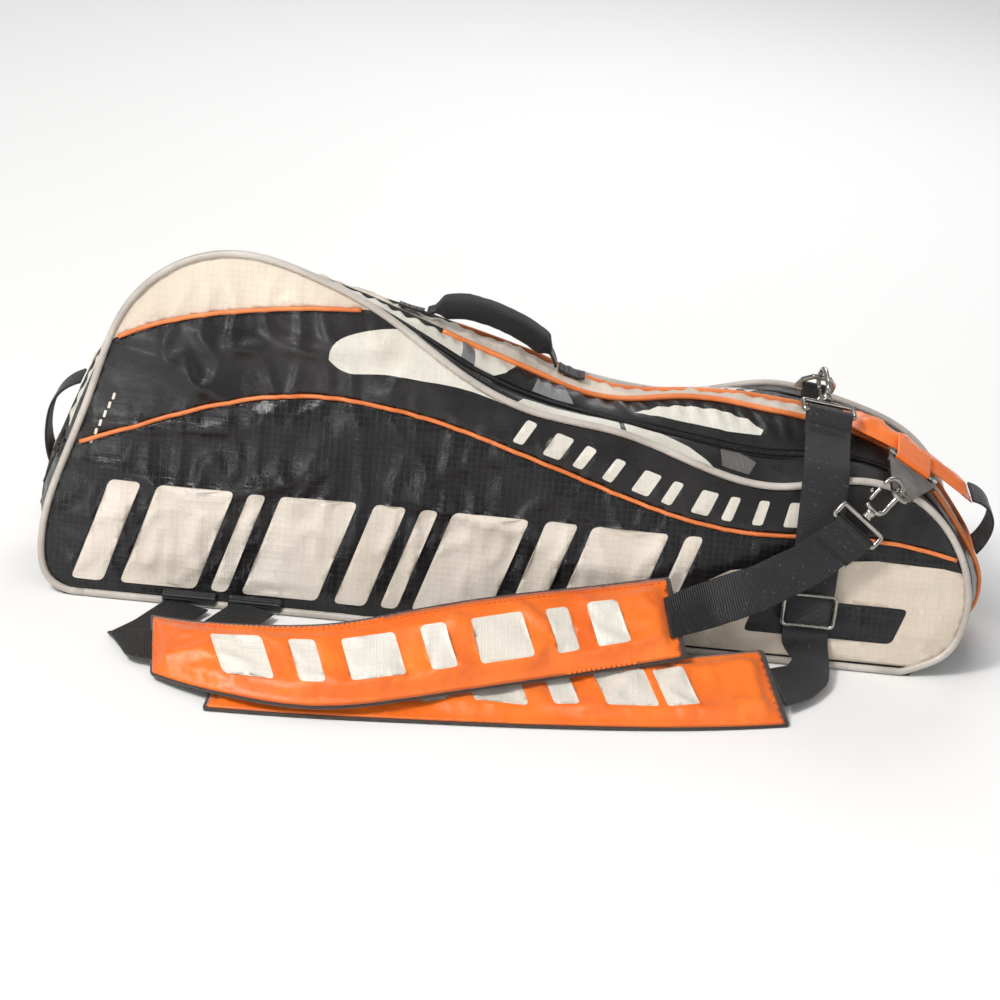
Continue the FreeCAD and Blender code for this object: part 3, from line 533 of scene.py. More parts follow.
def ring_faces(rings, around, start=0, closed=False):
    """Faces between rings of points that follow each other, with a cap at each open end."""
    faces = []
    for i in range(rings if closed else rings - 1):
        low = start + i * around
        high = start + (i + 1) % rings * around
        for j in range(around):
            k = (j + 1) % around
            faces.append((low + j, low + k, high + k, high + j))
    if not closed:
        last = start + (rings - 1) * around
        faces.append(tuple(start + j for j in reversed(range(around))))
        faces.append(tuple(last + j for j in range(around)))
    return faces


def tube_mesh(points, radius, around=10, closed=False, start=0):
    """Verts, faces and flat places of a round tube; radius is one number or one per point."""
    points = np.asarray(points, float)
    radii = np.broadcast_to(np.asarray(radius, float), (len(points),))
    sides, ups = frames(points)
    along = along_line(points)
    verts, flat = [], []
    for i, point in enumerate(points):
        for j in range(around):
            a = 2 * math.pi * j / around
            verts.append(point + radii[i] * (sides[i] * math.cos(a) + ups[i] * math.sin(a)))
            flat.append((along[i], radii[i] * a))
    return verts, ring_faces(len(points), around, start, closed), flat


def tubes(name, paths, body, slot, mat, nodes=(), around=10):
    """One object made of several round tubes; each path is (points, radius, closed)."""
    verts, faces, flat = [], [], []
    for points, radius, closed in paths:
        v, f, w = tube_mesh(points, radius, around, closed, len(verts))
        verts += v
        faces += f
        flat += w
    return finish_piece(name, verts, faces, body, [mat], flat, nodes=nodes)


def stitches(name, runs, body, mat, length, gap, radius):
    """Rows of separate sewn stitches; each run is a row of surface points and its normals."""
    shares = np.array([0, 0.15, 0.5, 0.85, 1.0])
    lift = np.array([-0.3, 0.15, 0.32, 0.15, -0.3])
    thread = radius * np.array([0.5, 1, 1, 1, 0.5])
    verts, faces = [], []
    for points, normals in runs:
        along = along_line(points)
        at = gap
        while at + length < along[-1]:
            stops = at + length * shares
            centre = read_off(stops, along, points)
            up = read_off(stops, along, normals)
            v, f, _ = tube_mesh(centre + up * lift[:, None], thread, 5, False, len(verts))
            verts += v
            faces += f
            at += length + gap
    return finish_piece(name, verts, faces, body, [mat])


def anticlockwise(ring):
    """A closed flat shape with its points in anticlockwise order."""
    ring = np.asarray(ring, float)
    after = np.roll(ring, -1, axis=0)
    area = (ring[:, 0] * after[:, 1] - after[:, 0] * ring[:, 1]).sum()
    return ring if area > 0 else ring[::-1]


def triangulate(outline, zones, spacing):
    """Triangles over a flat outline; their edges follow the edges of the zones, closed shapes.

    Returns the points, and each triangle with the numbers of the shapes that hold it; 0 is the
    outline."""
    rings = [anticlockwise(shape) for shape in [outline, *zones]]
    low = rings[0].min(0)
    high = rings[0].max(0)
    fixed = np.concatenate(rings)
    row_gap = spacing * 0.866
    grid = []
    for r in range(int((high[1] - low[1]) / row_gap) + 1):
        xs = np.arange(low[0] + (r % 2) * spacing / 2, high[0], spacing)
        grid.append(np.stack([xs, np.full(len(xs), low[1] + r * spacing * 0.866)], 1))
    grid = np.concatenate(grid)
    grid = grid[nearest(grid, fixed) > spacing * 0.45]
    points = [Vector(p) for p in np.concatenate([fixed, grid])]
    starts = np.cumsum([0] + [len(ring) for ring in rings])
    shapes = [list(range(a, b)) for a, b in zip(starts, starts[1:])]
    verts, _, triangles, _, _, owners = delaunay_2d_cdt(points, [], shapes, 0, 1e-4)
    kept = [(tri, held) for tri, held in zip(triangles, owners) if 0 in held]
    return np.array([tuple(v) for v in verts]), kept


def surface_normals(place, verts):
    """The normals of a surface that a function lays flat points on."""
    ahead = place(verts + (0.5, 0)) - place(verts - (0.5, 0))
    across = place(verts + (0, 0.5)) - place(verts - (0, 0.5))
    normal = np.cross(ahead, across)
    return normal / np.maximum(np.linalg.norm(normal, axis=1), 1e-9)[:, None]


CUT = "cut:"


def cloth(parts, body, outline, zones, spacing, place, relief, flip=False, thickness=CLOTH_T):
    """Cloth cut to an outline and laid on a surface.

    zones are (closed shape, kind) and kind is 'cut:NAME' for a separate cut piece or a material.
    parts maps each cut piece ('' is what no cut zone holds) to (object name, slot, material,
    lining, replaced nodes)."""
    verts, kept = triangulate(outline, [shape for shape, _ in zones], spacing)
    surface = place(verts)
    normal = surface_normals(place, verts) * (-1 if flip else 1)
    shaped = surface + normal * relief(verts, surface)[:, None]
    for key, (name, slot, mat, lining, nodes) in parts.items():
        mats = [mat]
        faces, marks = [], []
        for tri, owners in kept:
            kinds = [zones[owner - 1][1] for owner in owners if owner]
            cuts = [kind[len(CUT):] for kind in kinds if kind.startswith(CUT)]
            if min(cuts, default="") != key:
                continue
            printed = ([mat] + [kind for kind in kinds if not kind.startswith(CUT)])[-1]
            if printed not in mats:
                mats.append(printed)
            faces.append(tri[::-1] if flip else tri)
            marks.append(mats.index(printed))
        used = sorted({i for face in faces for i in face})
        index = {old: new for new, old in enumerate(used)}
        faces = [[index[i] for i in face] for face in faces]
        piece = finish_piece(name, shaped[used], faces, body, mats, verts[used], marks, nodes)
        thicken(piece, thickness, lining)


# ---------------------------------------------------------------- the bag's own surfaces

def inset(points, distance):
    """A rail moved into the bag in its own upright plane; the two floor ends slide along the floor."""
    points = np.asarray(points, float)
    ahead = np.zeros_like(points)
    ahead[1:-1] = points[2:] - points[:-2]
    ahead[0] = points[1] - points[0]
    ahead[-1] = points[-1] - points[-2]
    ahead = unit_rows(ahead)
    moved = points.copy()
    moved[1:-1, 0] += ahead[1:-1, -1] * distance
    moved[1:-1, -1] -= ahead[1:-1, 0] * distance
    for end, sign in ((0, 1), (-1, -1)):
        moved[end, 0] += sign * distance / max(abs(ahead[end, -1]), 0.35)
    return moved


def on_side(points, side):
    """(x, z) points laid on the front (-1) or rear (+1) side panel's outer face."""
    points = np.asarray(points, float)
    x, z = points[:, 0], points[:, 1]
    return np.stack([x, side * (HALF_WIDTH - z * LEAN), z], 1)


def at_y(points, y):
    """(x, z) points in the upright plane at y."""
    points = np.asarray(points, float)
    return np.stack([points[:, 0], np.full(len(points), float(y)), points[:, 1]], 1)


def round_corners(corners, round_off, shares):
    """A closed shape whose corners are small curves; shares are the places along each curve."""
    shape = []
    for i, corner in enumerate(corners):
        a = corner + unit(corners[i - 1] - corner) * round_off
        b = corner + unit(corners[(i + 1) % len(corners)] - corner) * round_off
        shape += [(1 - t)**2 * a + 2 * t * (1 - t) * corner + t * t * b for t in shares]
    return np.array(shape)


def slanted_bar(x, z, width, height, slant=0.32, round_off=5.0):
    """A plain leaning bar with rounded corners, as (x, z); used in place of any lettering."""
    lean = slant * height
    corners = np.array([(x, z), (x + width, z), (x + width + lean, z + height),
                        (x + lean, z + height)], float)
    return round_corners(corners, round_off, (0, 0.33, 0.67, 1))


def follow(shape, line, height):
    """A flat shape bent to run along a line: its x goes along the line, its z stands above it."""
    along = along_line(line)
    ahead = directions(line)
    up = read_off(shape[:, 0], along, np.stack([-ahead[:, 1], ahead[:, 0]], 1))
    return read_off(shape[:, 0], along, line) + up * (shape[:, 1] + height)[:, None]


def close_on_floor(edge, height, count):
    """An upright outline, closed by a straight row of points at one height."""
    back = np.linspace(edge[-1, 0], edge[0, 0], count)[1:-1]
    return np.concatenate([edge, np.stack([back, np.full(len(back), height)], 1)])


RAILS = {FRONT: FRONT_OUTLINE, REAR: REAR_OUTLINE}
EDGES = {side: even(rail, LINE_STEP) for side, rail in RAILS.items()}
TEARDROP = even([(-139, 215), (-137, 226), (-118, 238), (-84, 244), (-40, 236), (0, 212), (16, 192),
                 (-16, 198), (-58, 205), (-100, 207), (-130, 208), (-139, 215)], LINE_STEP)[:-1]
# Plain bars in place of the lettering: (start, width) of the large ones along the lower panel
LARGE_BARS = ((-336, 26), (-296, 62), (-222, 14), (-196, 62), (-120, 26), (-82, 14), (-56, 62),
              (20, 26), (58, 62), (134, 14))
SMALL_BAR_WIDTHS = (9, 15, 9, 9, 15, 9, 15, 9, 9, 15)
END_PATCH = np.array([(183, 66), (200, 76), (255, 88), (318, 95), (372, 93), (420, 84), (420, 8),
                      (165, 8)])


def side_outline(side):
    """The closed outline of a side panel: its curved edge, then straight back along the floor."""
    return close_on_floor(EDGES[side], FLOOR_Z, 120)


def seam_lines(side):
    """The lower and upper seam across a side panel; the rear ones follow its lower hump."""
    share = PATTERN_HEIGHT[side]
    return [even([(x, z * share) for x, z in seam], LINE_STEP) for seam in (LOWER_SEAM, UPPER_SEAM)]


def side_relief(side):
    """How far the slack side panel stands out: a soft belly, long creases and puckered seams.

    The front one is pressed flat where strap B and its adjuster lie on it."""
    edge_line = side_outline(side)
    seams = seam_lines(side)

    def relief(verts, surface):
        edge = nearest(verts, edge_line)
        # 0 at the sewn edge and 1 far from it
        free = 1 - np.exp(-edge / 22.0)
        out = 4.2 * (1 - np.exp(-edge / 32.0)) + 3.4 * free * noise_at(surface, 95.0, seed=1)
        # The cloth is slacker toward the wide end
        slack = free * (1 + 0.6 * (1 - smooth_step(surface[:, 0], 110, 190)))
        out += 2.6 * slack * folds(surface, 74.0, (0.55, 1, 1.7), seed=2)
        out += 1.9 * slack * folds(surface, 36.0, (1.6, 1, 0.8), seed=5)
        out += 0.7 * free * noise_at(surface, 17.0, (1, 1, 1.4), seed=8)
        for line in seams:
            gap = nearest(verts, line)
            out -= 1.3 * np.exp(-(gap / 5.0) ** 2) * free
            ripple = np.sin(verts[:, 0] * 0.52 + 2.5 * noise_at(surface, 30.0, seed=3))
            out += 0.5 * free * ripple * np.exp(-gap / 9.0) * (1 - np.exp(-gap / 2.0))
        out += 0.35 * np.sin(verts[:, 0] * 0.4) * np.exp(-edge / 7.0) * (1 - np.exp(-edge / 2.0))
        if side == FRONT:
            # Where strap B's webbing and adjuster press the panel flat
            strap = ((verts[:, 0] - 267) / 42) ** 4 + ((verts[:, 1] - 40) / 44) ** 4
            out *= 1 - 0.9 * np.exp(-strap)
        return out
    return relief


def side_zones(side):
    """The two cut lines of a side panel, and its printed shapes."""
    lower, upper = seam_lines(side)
    share = PATTERN_HEIGHT[side]
    zones = [(np.concatenate([lower, [(430, -30), (-385, -30)]]), CUT + "lower"),
             (np.concatenate([upper, [(-60, 320), (-385, 320)]]), CUT + "upper")]
    for x, width in LARGE_BARS:
        zones.append((slanted_bar(x, 15 * share, width, 86 * share), "print_cream"))
    zones.append((END_PATCH * (1, share), "ripstop_cream"))
    zones.append((slanted_bar(216, 26 * share, 122, 31 * share), "ripstop_black"))
    if side == FRONT:
        zones.append((TEARDROP, "print_white"))
    run = lower[(lower[:, 0] > 5) & (lower[:, 0] < 300)]
    for i, width in enumerate(SMALL_BAR_WIDTHS):
        bar = slanted_bar(6 + 26 * i, 0, width, 20, 0.25, 2.5)
        zones.append((follow(bar, run, 7.0), "print_white"))
    for i in range(6):
        dash = slanted_bar(-327 + 3.2 * i, 128 + 7.5 * i, 2.2, 5.5, 0.2, 0.8)
        zones.append((dash * (1, share), "print_cream"))
    return zones


def make_side(side, body, label):
    """One side of the bag: three cut pieces of cloth, its edge piping and its seam pipings."""
    edge = EDGES[side]
    outline = side_outline(side)
    relief = side_relief(side)
    parts = {}
    for key, place_name, fabric in (("lower", "lower", "ripstop_black"), ("", "band", "nylon_charcoal"),
                                    ("upper", "upper", "ripstop_cream")):
        parts[key] = ("%s_%s_cloth" % (label, place_name), fabric, fabric, "lining_black",
                      ["%s_panel_%s" % (label, place_name)])
    cloth(parts, body, outline, side_zones(side), CLOTH_STEP, lambda v: on_side(v, side), relief,
          flip=side == REAR, thickness=1.9)
    loop = np.concatenate([even(inset(RAILS[side], -1.2), 5.0), outline[len(edge):]])
    loop[:, 1] = np.maximum(loop[:, 1], 3.5)
    path = on_side(loop, side) + (0, side * 0.6, 0)
    tubes(label + "_edge_cord", [(path, 3.0, True)], body, "vinyl_pale", "vinyl_pale",
          [label + "_edge_piping"], 12)
    out = np.array([0, side, 0.17])

    def raised(points, height):
        surface = on_side(points, side)
        return surface + out * (relief(points, surface) + height)[:, None]
    seams, rows = [], []
    for line in seam_lines(side):
        inside = line[(nearest(line, edge) > 3.5) & inside_outline(line, edge)]
        seams.append((raised(inside, 1.2), 1.8, False))
        row = raised(inside - (0, 4.2), 0.15)
        rows.append((row, np.broadcast_to(out, row.shape)))
    names = {FRONT: ["front_seam_piping_lower", "front_seam_piping_upper"], REAR: ["rear_seam_pipings"]}
    tubes(label + "_seam_cords", seams, body, "cord_orange", "cord_orange", names[side])
    stitches(label + "_seam_stitches", rows, body, "thread_black", 3.0, 1.6, 0.26)


def inside_outline(points, edge):
    """Which (x, z) points lie inside the closed outline of a side panel."""
    x, z = points[:, 0], points[:, 1]
    count = np.zeros(len(points), int)
    for (ax, az), (bx, bz) in zip(edge, np.roll(edge, -1, axis=0)):
        crosses = (az > z) != (bz > z)
        at = ax + (z - az) / np.where(bz == az, 1e-9, bz - az) * (bx - ax)
        count += crosses & (x < at)
    return count % 2 == 1


BAND_WIDTH = 60.0
SPINE_RAILS = {FRONT: (SPINE_FRONT_OUTLINE, SPINE_FRONT_Y), REAR: (SPINE_REAR_OUTLINE, SPINE_REAR_Y)}


def band_surface(rail_a, rail_b):
    """The ruled surface between two rails: (mm along, 0..BAND_WIDTH across) to a place."""
    line_a, line_b = curve(rail_a), curve(rail_b)
    stations = np.linspace(0, len(rail_a) - 1, 1500)
    along = along_line((line_a(stations) + line_b(stations)) / 2)

    def place(verts):
        s = np.interp(verts[:, 0], along, stations)
        a, b = line_a(s), line_b(s)
        return a + (b - a) * (verts[:, 1] / BAND_WIDTH)[:, None]
    return place, along, stations


def band_outline(length):
    """The flat rectangle of a strip that is laid on a band surface."""
    count = int(length / 4.0)
    low = np.stack([np.linspace(0, length, count), np.zeros(count)], 1)
    high = np.stack([np.linspace(length, 0, count), np.full(count, BAND_WIDTH)], 1)
    rise = np.stack([np.full(9, length), np.linspace(0, BAND_WIDTH, 11)[1:-1]], 1)
    fall = np.stack([np.zeros(9), np.linspace(BAND_WIDTH, 0, 11)[1:-1]], 1)
    return np.concatenate([low, rise, high, fall])


def band_relief(belly, crease, gathers, seed, calm):
    """Slack in a gusset strip: held at both edges, gathered along the edge away from the panel.

    calm is where, along the bag, the slack fades out."""
    def relief(verts, surface):
        share = verts[:, 1] / BAND_WIDTH
        held = 4 * share * (1 - share)
        free = np.clip(held, 0, 1) ** 0.6
        out = belly * held * (1 + 0.5 * noise_at(surface, 60.0, seed=seed))
        out += crease * free * folds(surface, 42.0, (1.0, 0.55, 1.0), seed + 1)
        out += crease * 0.5 * free * noise_at(surface, 15.0, seed=seed + 2)
        wave = np.sin(verts[:, 0] * 0.42 + 4 * noise_at(surface, 45.0, seed=seed + 3))
        out += gathers * wave * share**3 * (1 - share) * 6.0
        return out * (1 - smooth_step(surface[:, 0], *calm) * 0.7)
    return relief


def zip_share(number, last):
    """How far across the gusset the zip's middle line runs, at a rail's point of this number."""
    return 0.28 + 0.22 * number / last


def zip_rails(outer, spine):
    """The zip's middle line in a gusset, and the edges of the cloth on both sides of it."""
    middle = outer + (spine - outer) * zip_share(np.arange(len(outer)), len(outer) - 1)[:, None]
    panel_side = middle + unit_rows(outer - middle) * ZIP_GAP / 2
    return middle, panel_side, middle + unit_rows(spine - middle) * ZIP_GAP / 2


# Printed shapes on the gussets, with corners given as (point number along, share across)
GUSSET_PRINTS = [
    ([(7.4, 0.42), (7.4, 1.1), (10.05, 1.1), (10.0, 0.40)], "print_white"),
    ([(10.2, 0.36), (10.15, 1.1), (10.8, 1.1), (10.62, 0.55), (10.45, 0.36)], "print_white"),
    ([(10.0, 0.40), (9.97, 1.1), (10.15, 1.1), (10.2, 0.40)], "print_grey"),
    ([(11.0, 0.42), (11.05, 0.80), (11.4, 0.74), (11.5, 0.42)], "print_grey"),
    ([(10.8, 0.0), (10.9, 0.24), (11.5, 0.30), (12.0, 0.34), (12.0, 0.02)], "print_white"),
    ([(12.06, 0.02), (12.06, 0.38), (12.5, 0.36), (12.8, 0.26), (13.05, 0.05)], "print_white"),
    ([(13.2, 0.12), (13.25, 0.42), (13.5, 0.44), (13.75, 0.30), (13.6, 0.10)], "print_taupe"),
    ([(12.25, 0.62), (12.5, 0.80), (12.9, 0.86), (13.4, 0.86), (13.75, 0.80), (13.95, 0.68),
      (13.9, 0.60), (13.4, 0.56), (12.8, 0.58)], "print_white"),
    ([(17.2, 0.55), (17.2, 0.9), (18.6, 0.9), (18.4, 0.55)], "print_grey"),
    ([(3.2, 0.5), (3.2, 0.9), (4.9, 0.95), (5.1, 0.5)], "print_white"),
]


def gusset_prints(along, stations, inner):
    """The printed shapes of one gusset strip, in mm along and across it."""
    last = len(FRONT_OUTLINE) - 1
    zones = []
    for shape, mat in GUSSET_PRINTS:
        points = []
        for corner, after in zip(shape, shape[1:] + shape[:1]):
            for t in np.linspace(0, 1, 7)[:-1]:
                s = corner[0] + (after[0] - corner[0]) * t
                share = corner[1] + (after[1] - corner[1]) * t
                split = zip_share(s, last)
                local = (share - split) / (1 - split) if inner else share / split
                points.append((np.interp(s, stations, along), local * BAND_WIDTH))
        points = np.array(points)
        if points[:, 1].min() < BAND_WIDTH - 3 and points[:, 1].max() > 3:
            zones.append((points, mat))
    return zones


def teeth(name, line, ups, sign, body, nodes):
    """The small bars of a coil zip, on one side of the zip's middle line."""
    verts, faces = [], []
    shift = -0.4 * sign
    for point, up, ahead in zip(line, ups, directions(line)):
        across = np.cross(up, ahead)
        near = point + across * (sign * 0.1) + ahead * shift
        far = point + across * (sign * 1.9) + ahead * shift
        path = np.array([near - up * 0.5, near + up * 0.5, far + up * 0.7, far - up * 0.3])
        v, f, _ = tube_mesh(path, 0.52, 5, False, len(verts))
        verts += v
        faces += f
    finish_piece(name, verts, faces, body, ["zip_coil"], nodes=nodes)


def make_gusset(label, side, cover_body):
    """One gusset: outer strip, zip and inner strip, from the side panel's edge to the spine."""
    outer = on_side(RAILS[side], side) - (0, side * PANEL_T, 0)
    spine = at_y(*SPINE_RAILS[side])
    middle, panel_side, spine_side = zip_rails(outer, spine)
    flip = side == REAR
    for strip, a, b, body, slack in (("outer", outer, panel_side, cover_body, (1.2, 1.0, 0.0)),
                                     ("inner", spine_side, spine, "bag", (2.2, 1.8, 2.2))):
        place, along, stations = band_surface(a, b)
        inner = strip == "inner"
        zones = gusset_prints(along, stations, inner)
        relief = band_relief(*slack, seed=3.0 + inner + side, calm=(225, 260))
        parts = {"": ("%s_gusset_%s_cloth" % (label, strip), "gusset_print", "gusset_dark",
                      "lining_black", ["%s_gusset_%s" % (label, strip)])}
        cloth(parts, body, band_outline(along[-1]), zones, CLOTH_STEP, place, relief, flip)
    line = even(middle, 1.55)
    at = np.interp(np.linspace(0, 1, len(line)), np.linspace(0, 1, len(spine)), range(len(spine)))
    ups = np.cross(np.gradient(line, axis=0), curve(spine)(at) - curve(outer)(at))
    ups *= -side / np.linalg.norm(ups, axis=1)[:, None]
    for half, a, b, body, sign in (("fixed", middle, spine_side, "bag", -side),
                                   ("cover", panel_side, middle, cover_body, side)):
        place, along, _ = band_surface(a, b)
        nodes = ["front_zip_tape"] if side == FRONT else ["rear_zip_tape_" + half]
        parts = {"": ("%s_tape_%s" % (label, half), "zip_black", "zip_tape", None, nodes)}
        cloth(parts, body, band_outline(along[-1]), [], 12.0, place,
              lambda v, p: np.full(len(v), -0.7), flip, 0.8)
        coil = ["front_zip_coil"] if side == FRONT and half == "fixed" else []
        teeth("%s_teeth_%s" % (label, half), line, ups, sign, body, coil)


def make_spine():
    """The cream strip along the top; its pipings are dark at the wide end and orange after it."""
    place, along, _ = band_surface(at_y(*SPINE_RAILS[FRONT]), at_y(*SPINE_RAILS[REAR]))
    relief = band_relief(2.4, 3.0, 1.4, seed=9.0, calm=(240, 275))
    parts = {"": ("spine_cloth", "ripstop_cream", "ripstop_cream", "lining_black", ["spine_panel"])}
    cloth(parts, "bag", band_outline(along[-1]), [], CLOTH_STEP, place, relief)
    for name, side in (("front", FRONT), ("rear", REAR)):
        rail, y = SPINE_RAILS[side]
        path = at_y(even(inset(rail, -1.6), LINE_STEP), y - side * 1.5)
        path[:, 2] = np.maximum(path[:, 2], 3.6)
        path[:, 2] += 0.7 * noise_at(path, 35.0, seed=4)
        start = int(len(path) * 0.465)
        tubes("spine_cord_" + name, [(path[start:], 2.5, False)], "bag", "cord_orange", "cord_orange",
              ["spine_piping_" + name])
        tubes("spine_cord_dark_" + name, [(path[:start + 1], 2.2, False)], "bag", "cord_orange",
              "zip_tape")


def make_floor_and_divider():
    """Bottom gusset and the divider between the two compartments."""
    corners = np.array(BASE_FOOTPRINT, float)
    outline = []
    for a, b in zip(corners, np.roll(corners, -1, axis=0)):
        steps = max(int(np.linalg.norm(b - a) / 12), 1)
        outline += [a + (b - a) * k / steps for k in range(steps)]
    parts = {"": ("base_cloth", "lining_black", "lining_black", None, ["base_panel"])}
    cloth(parts, "bag", outline, [], 14.0, lambda v: np.insert(v, 2, 0.3, axis=1),
          lambda v, p: 0.25 * noise_at(p, 30.0), True, 2.4)
    middle = (np.array(SPINE_FRONT_OUTLINE, float) + np.array(SPINE_REAR_OUTLINE, float)) / 2
    edge = even(inset(middle, 8.0), 8.0)
    edge[:, 1] = np.maximum(edge[:, 1], 5.5)
    parts = {"": ("divider_cloth", "lining_black", "lining_black", None, ["center_divider"])}
    cloth(parts, "bag", close_on_floor(edge, 5.5, 60), [], 12.0, lambda v: at_y(v, DIVIDER_Y - 0.6),
          lambda v, p: 1.2 * noise_at(p, 60.0))


make_side(FRONT, "bag", "front")
make_side(REAR, "rear_cover", "rear")
make_gusset("front", FRONT, "bag")
make_gusset("rear", REAR, "rear_cover")
make_spine()
make_floor_and_divider()


# ---------------------------------------------------------------- straps, pads and handle

SWELL_STEPS = 14
SWELL_LIMIT = 2.4


def swell(piece, held):
    """Blows a padded piece up a little with a cloth simulation; held points stay in place."""
    group = piece.vertex_groups.new(name="held")
    group.add([i for i, fixed in enumerate(held) if fixed], 1.0, "REPLACE")
    rest = np.zeros(len(piece.data.vertices) * 3)
    piece.data.vertices.foreach_get("co", rest)
    modifier = piece.modifiers.new("cloth", "CLOTH")
    settings = modifier.settings
    settings.quality = 6
    settings.use_pressure = True
    settings.uniform_pressure_force = 4.0
    settings.tension_stiffness = 12.0
    settings.compression_stiffness = 12.0
    settings.bending_stiffness = 0.6
    settings.effector_weights.gravity = 0.0
    settings.vertex_group_mass = "held"
    settings.shrink_min = -0.03
    modifier.point_cache.frame_end = SWELL_STEPS
    for number in range(1, SWELL_STEPS + 1):
        bpy.context.scene.frame_set(number)
    solved = piece.evaluated_get(bpy.context.evaluated_depsgraph_get())
    moved = np.zeros(len(rest))
    solved.data.vertices.foreach_get("co", moved)
    shift = (moved - rest).reshape(-1, 3)
    size = np.linalg.norm(shift, axis=1)
    shift *= np.minimum(1.0, SWELL_LIMIT * MM / np.maximum(size, 1e-9))[:, None]
    normals = np.zeros(len(rest))
    piece.data.vertices.foreach_get("normal", normals)
    shift[(shift * normals.reshape(-1, 3)).sum(1) < 0] = 0
    piece.modifiers.remove(modifier)
    piece.data.vertices.foreach_set("co", (rest.reshape(-1, 3) + shift).ravel())
    piece.data.update()
    bpy.context.scene.frame_set(1)


def pad_place(low_edge, high_edge):
    """The middle surface of a pad, (mm along, mm across) to a place, with its length and width."""
    low, high = curve(low_edge), curve(high_edge)
    stations = np.linspace(0, len(low_edge) - 1, 400)
    along = along_line((low(stations) + high(stations)) / 2)
    width = float(np.linalg.norm(np.array(low_edge[0], float) - np.array(high_edge[0], float)))

    def place(verts):
        s = np.interp(verts[:, 0], along, stations)
        a, b = low(s), high(s)
        return (a + b) / 2 + unit_rows(b - a) * (verts[:, 1] - width / 2)[:, None]
    return place, along[-1], width


def rectangle(x0, y0, x1, y1, step, round_off=3.0):
    """A rounded rectangle as a row of points."""
    corners = [((x0 + round_off, y0 + round_off), 180), ((x1 - round_off, y0 + round_off), 270),
               ((x1 - round_off, y1 - round_off), 0), ((x0 + round_off, y1 - round_off), 90)]
    turns = []
    for (cx, cy), start in corners:
        for k in range(4):
            a = math.radians(start + 30 * k)
            turns.append((cx + round_off * math.cos(a), cy + round_off * math.sin(a)))
    shape = []
    for a, b in zip(turns, turns[1:] + turns[:1]):
        a, b = np.array(a), np.array(b)
        count = max(int(np.linalg.norm(b - a) / step), 1)
        shape += [a + (b - a) * k / count for k in range(count)]
    return np.array(shape)


def pillow(name, place, length, width, height, sink, prints, nodes, seed):
    """A closed stuffed shape over a surface: flat rim, stitched groove, then foam that swells up."""
    rim = 5.0
    outline = rectangle(0, 0, length, width, 4.0)
    verts, kept = triangulate(outline, [shape for shape, _ in prints], 4.0)
    surface = place(verts)
    normal = surface_normals(place, verts)
    edge = nearest(verts, outline)
    rise = smooth_step(edge, rim, rim + 12.0)
    up = 0.9 * smooth_step(edge, 0, 1.5) + height * rise
    creases = folds(surface, 40.0, (0.8, 1.4, 1), seed + 1)
    up += rise * (2.4 * noise_at(surface, 60.0, seed=seed) + 2.8 * creases)
    up += rise * 0.8 * noise_at(surface, 14.0, seed=seed + 2)
    wobble = noise_at(surface, 20.0, seed=seed + 4)
    pucker = np.sin((verts[:, 0] + verts[:, 1]) * 0.75 + 2 * wobble)
    up += 0.3 * pucker * np.exp(-((edge - rim - 3) / 3.5) ** 2)
    up -= 0.5 * np.exp(-((edge - rim) / 1.1) ** 2)
    top = surface + normal * (up - sink)[:, None]
    bottom = surface - normal * (sink + 0.3 * smooth_step(edge, 0, 2.0))[:, None]
    border = edge < 0.01
    inner = np.flatnonzero(~border)
    below = np.arange(len(verts))
    below[inner] = len(verts) + np.arange(len(inner))
    faces, marks = [], []
    mats = ["pad_orange"]
    for tri, owners in kept:
        mat = (mats[:1] + [prints[owner - 1][1] for owner in owners if owner])[-1]
        if mat not in mats:
            mats.append(mat)
        faces.append(tri)
        marks.append(mats.index(mat))
    for tri, _ in kept:
        if not border[tri].all():
            faces.append([int(i) for i in below[tri[::-1]]])
            marks.append(0)
    points = np.concatenate([top, bottom[inner]])
    flat = np.concatenate([verts, verts[inner]])
    piece = finish_piece(name, points, faces, "bag", mats, flat, marks, nodes)
    held = np.concatenate([edge < rim, np.ones(len(inner), bool)])
    swell(piece, held)


def edge_stitches(name, place, length, width, sink):
    """Rows of orange stitches along the four edges of a pad."""
    d = 4.2
    lift = 0.65 - sink
    far_x, far_y = length - d, width - d
    rows = []
    for a, b in (((d, d), (d, far_y)), ((far_x, d), (far_x, far_y)), ((d, d), (far_x, d)),
                 ((d, far_y), (far_x, far_y))):
        a, b = np.array(a), np.array(b)
        count = max(int(np.linalg.norm(b - a) / 3), 3)
        flat = a + (b - a) * np.linspace(0, 1, count)[:, None]
        normals = surface_normals(place, flat)
        rows.append((place(flat) + normals * lift, normals))
    stitches(name, rows, "bag", "thread_orange", 3.2, 1.5, 0.28)


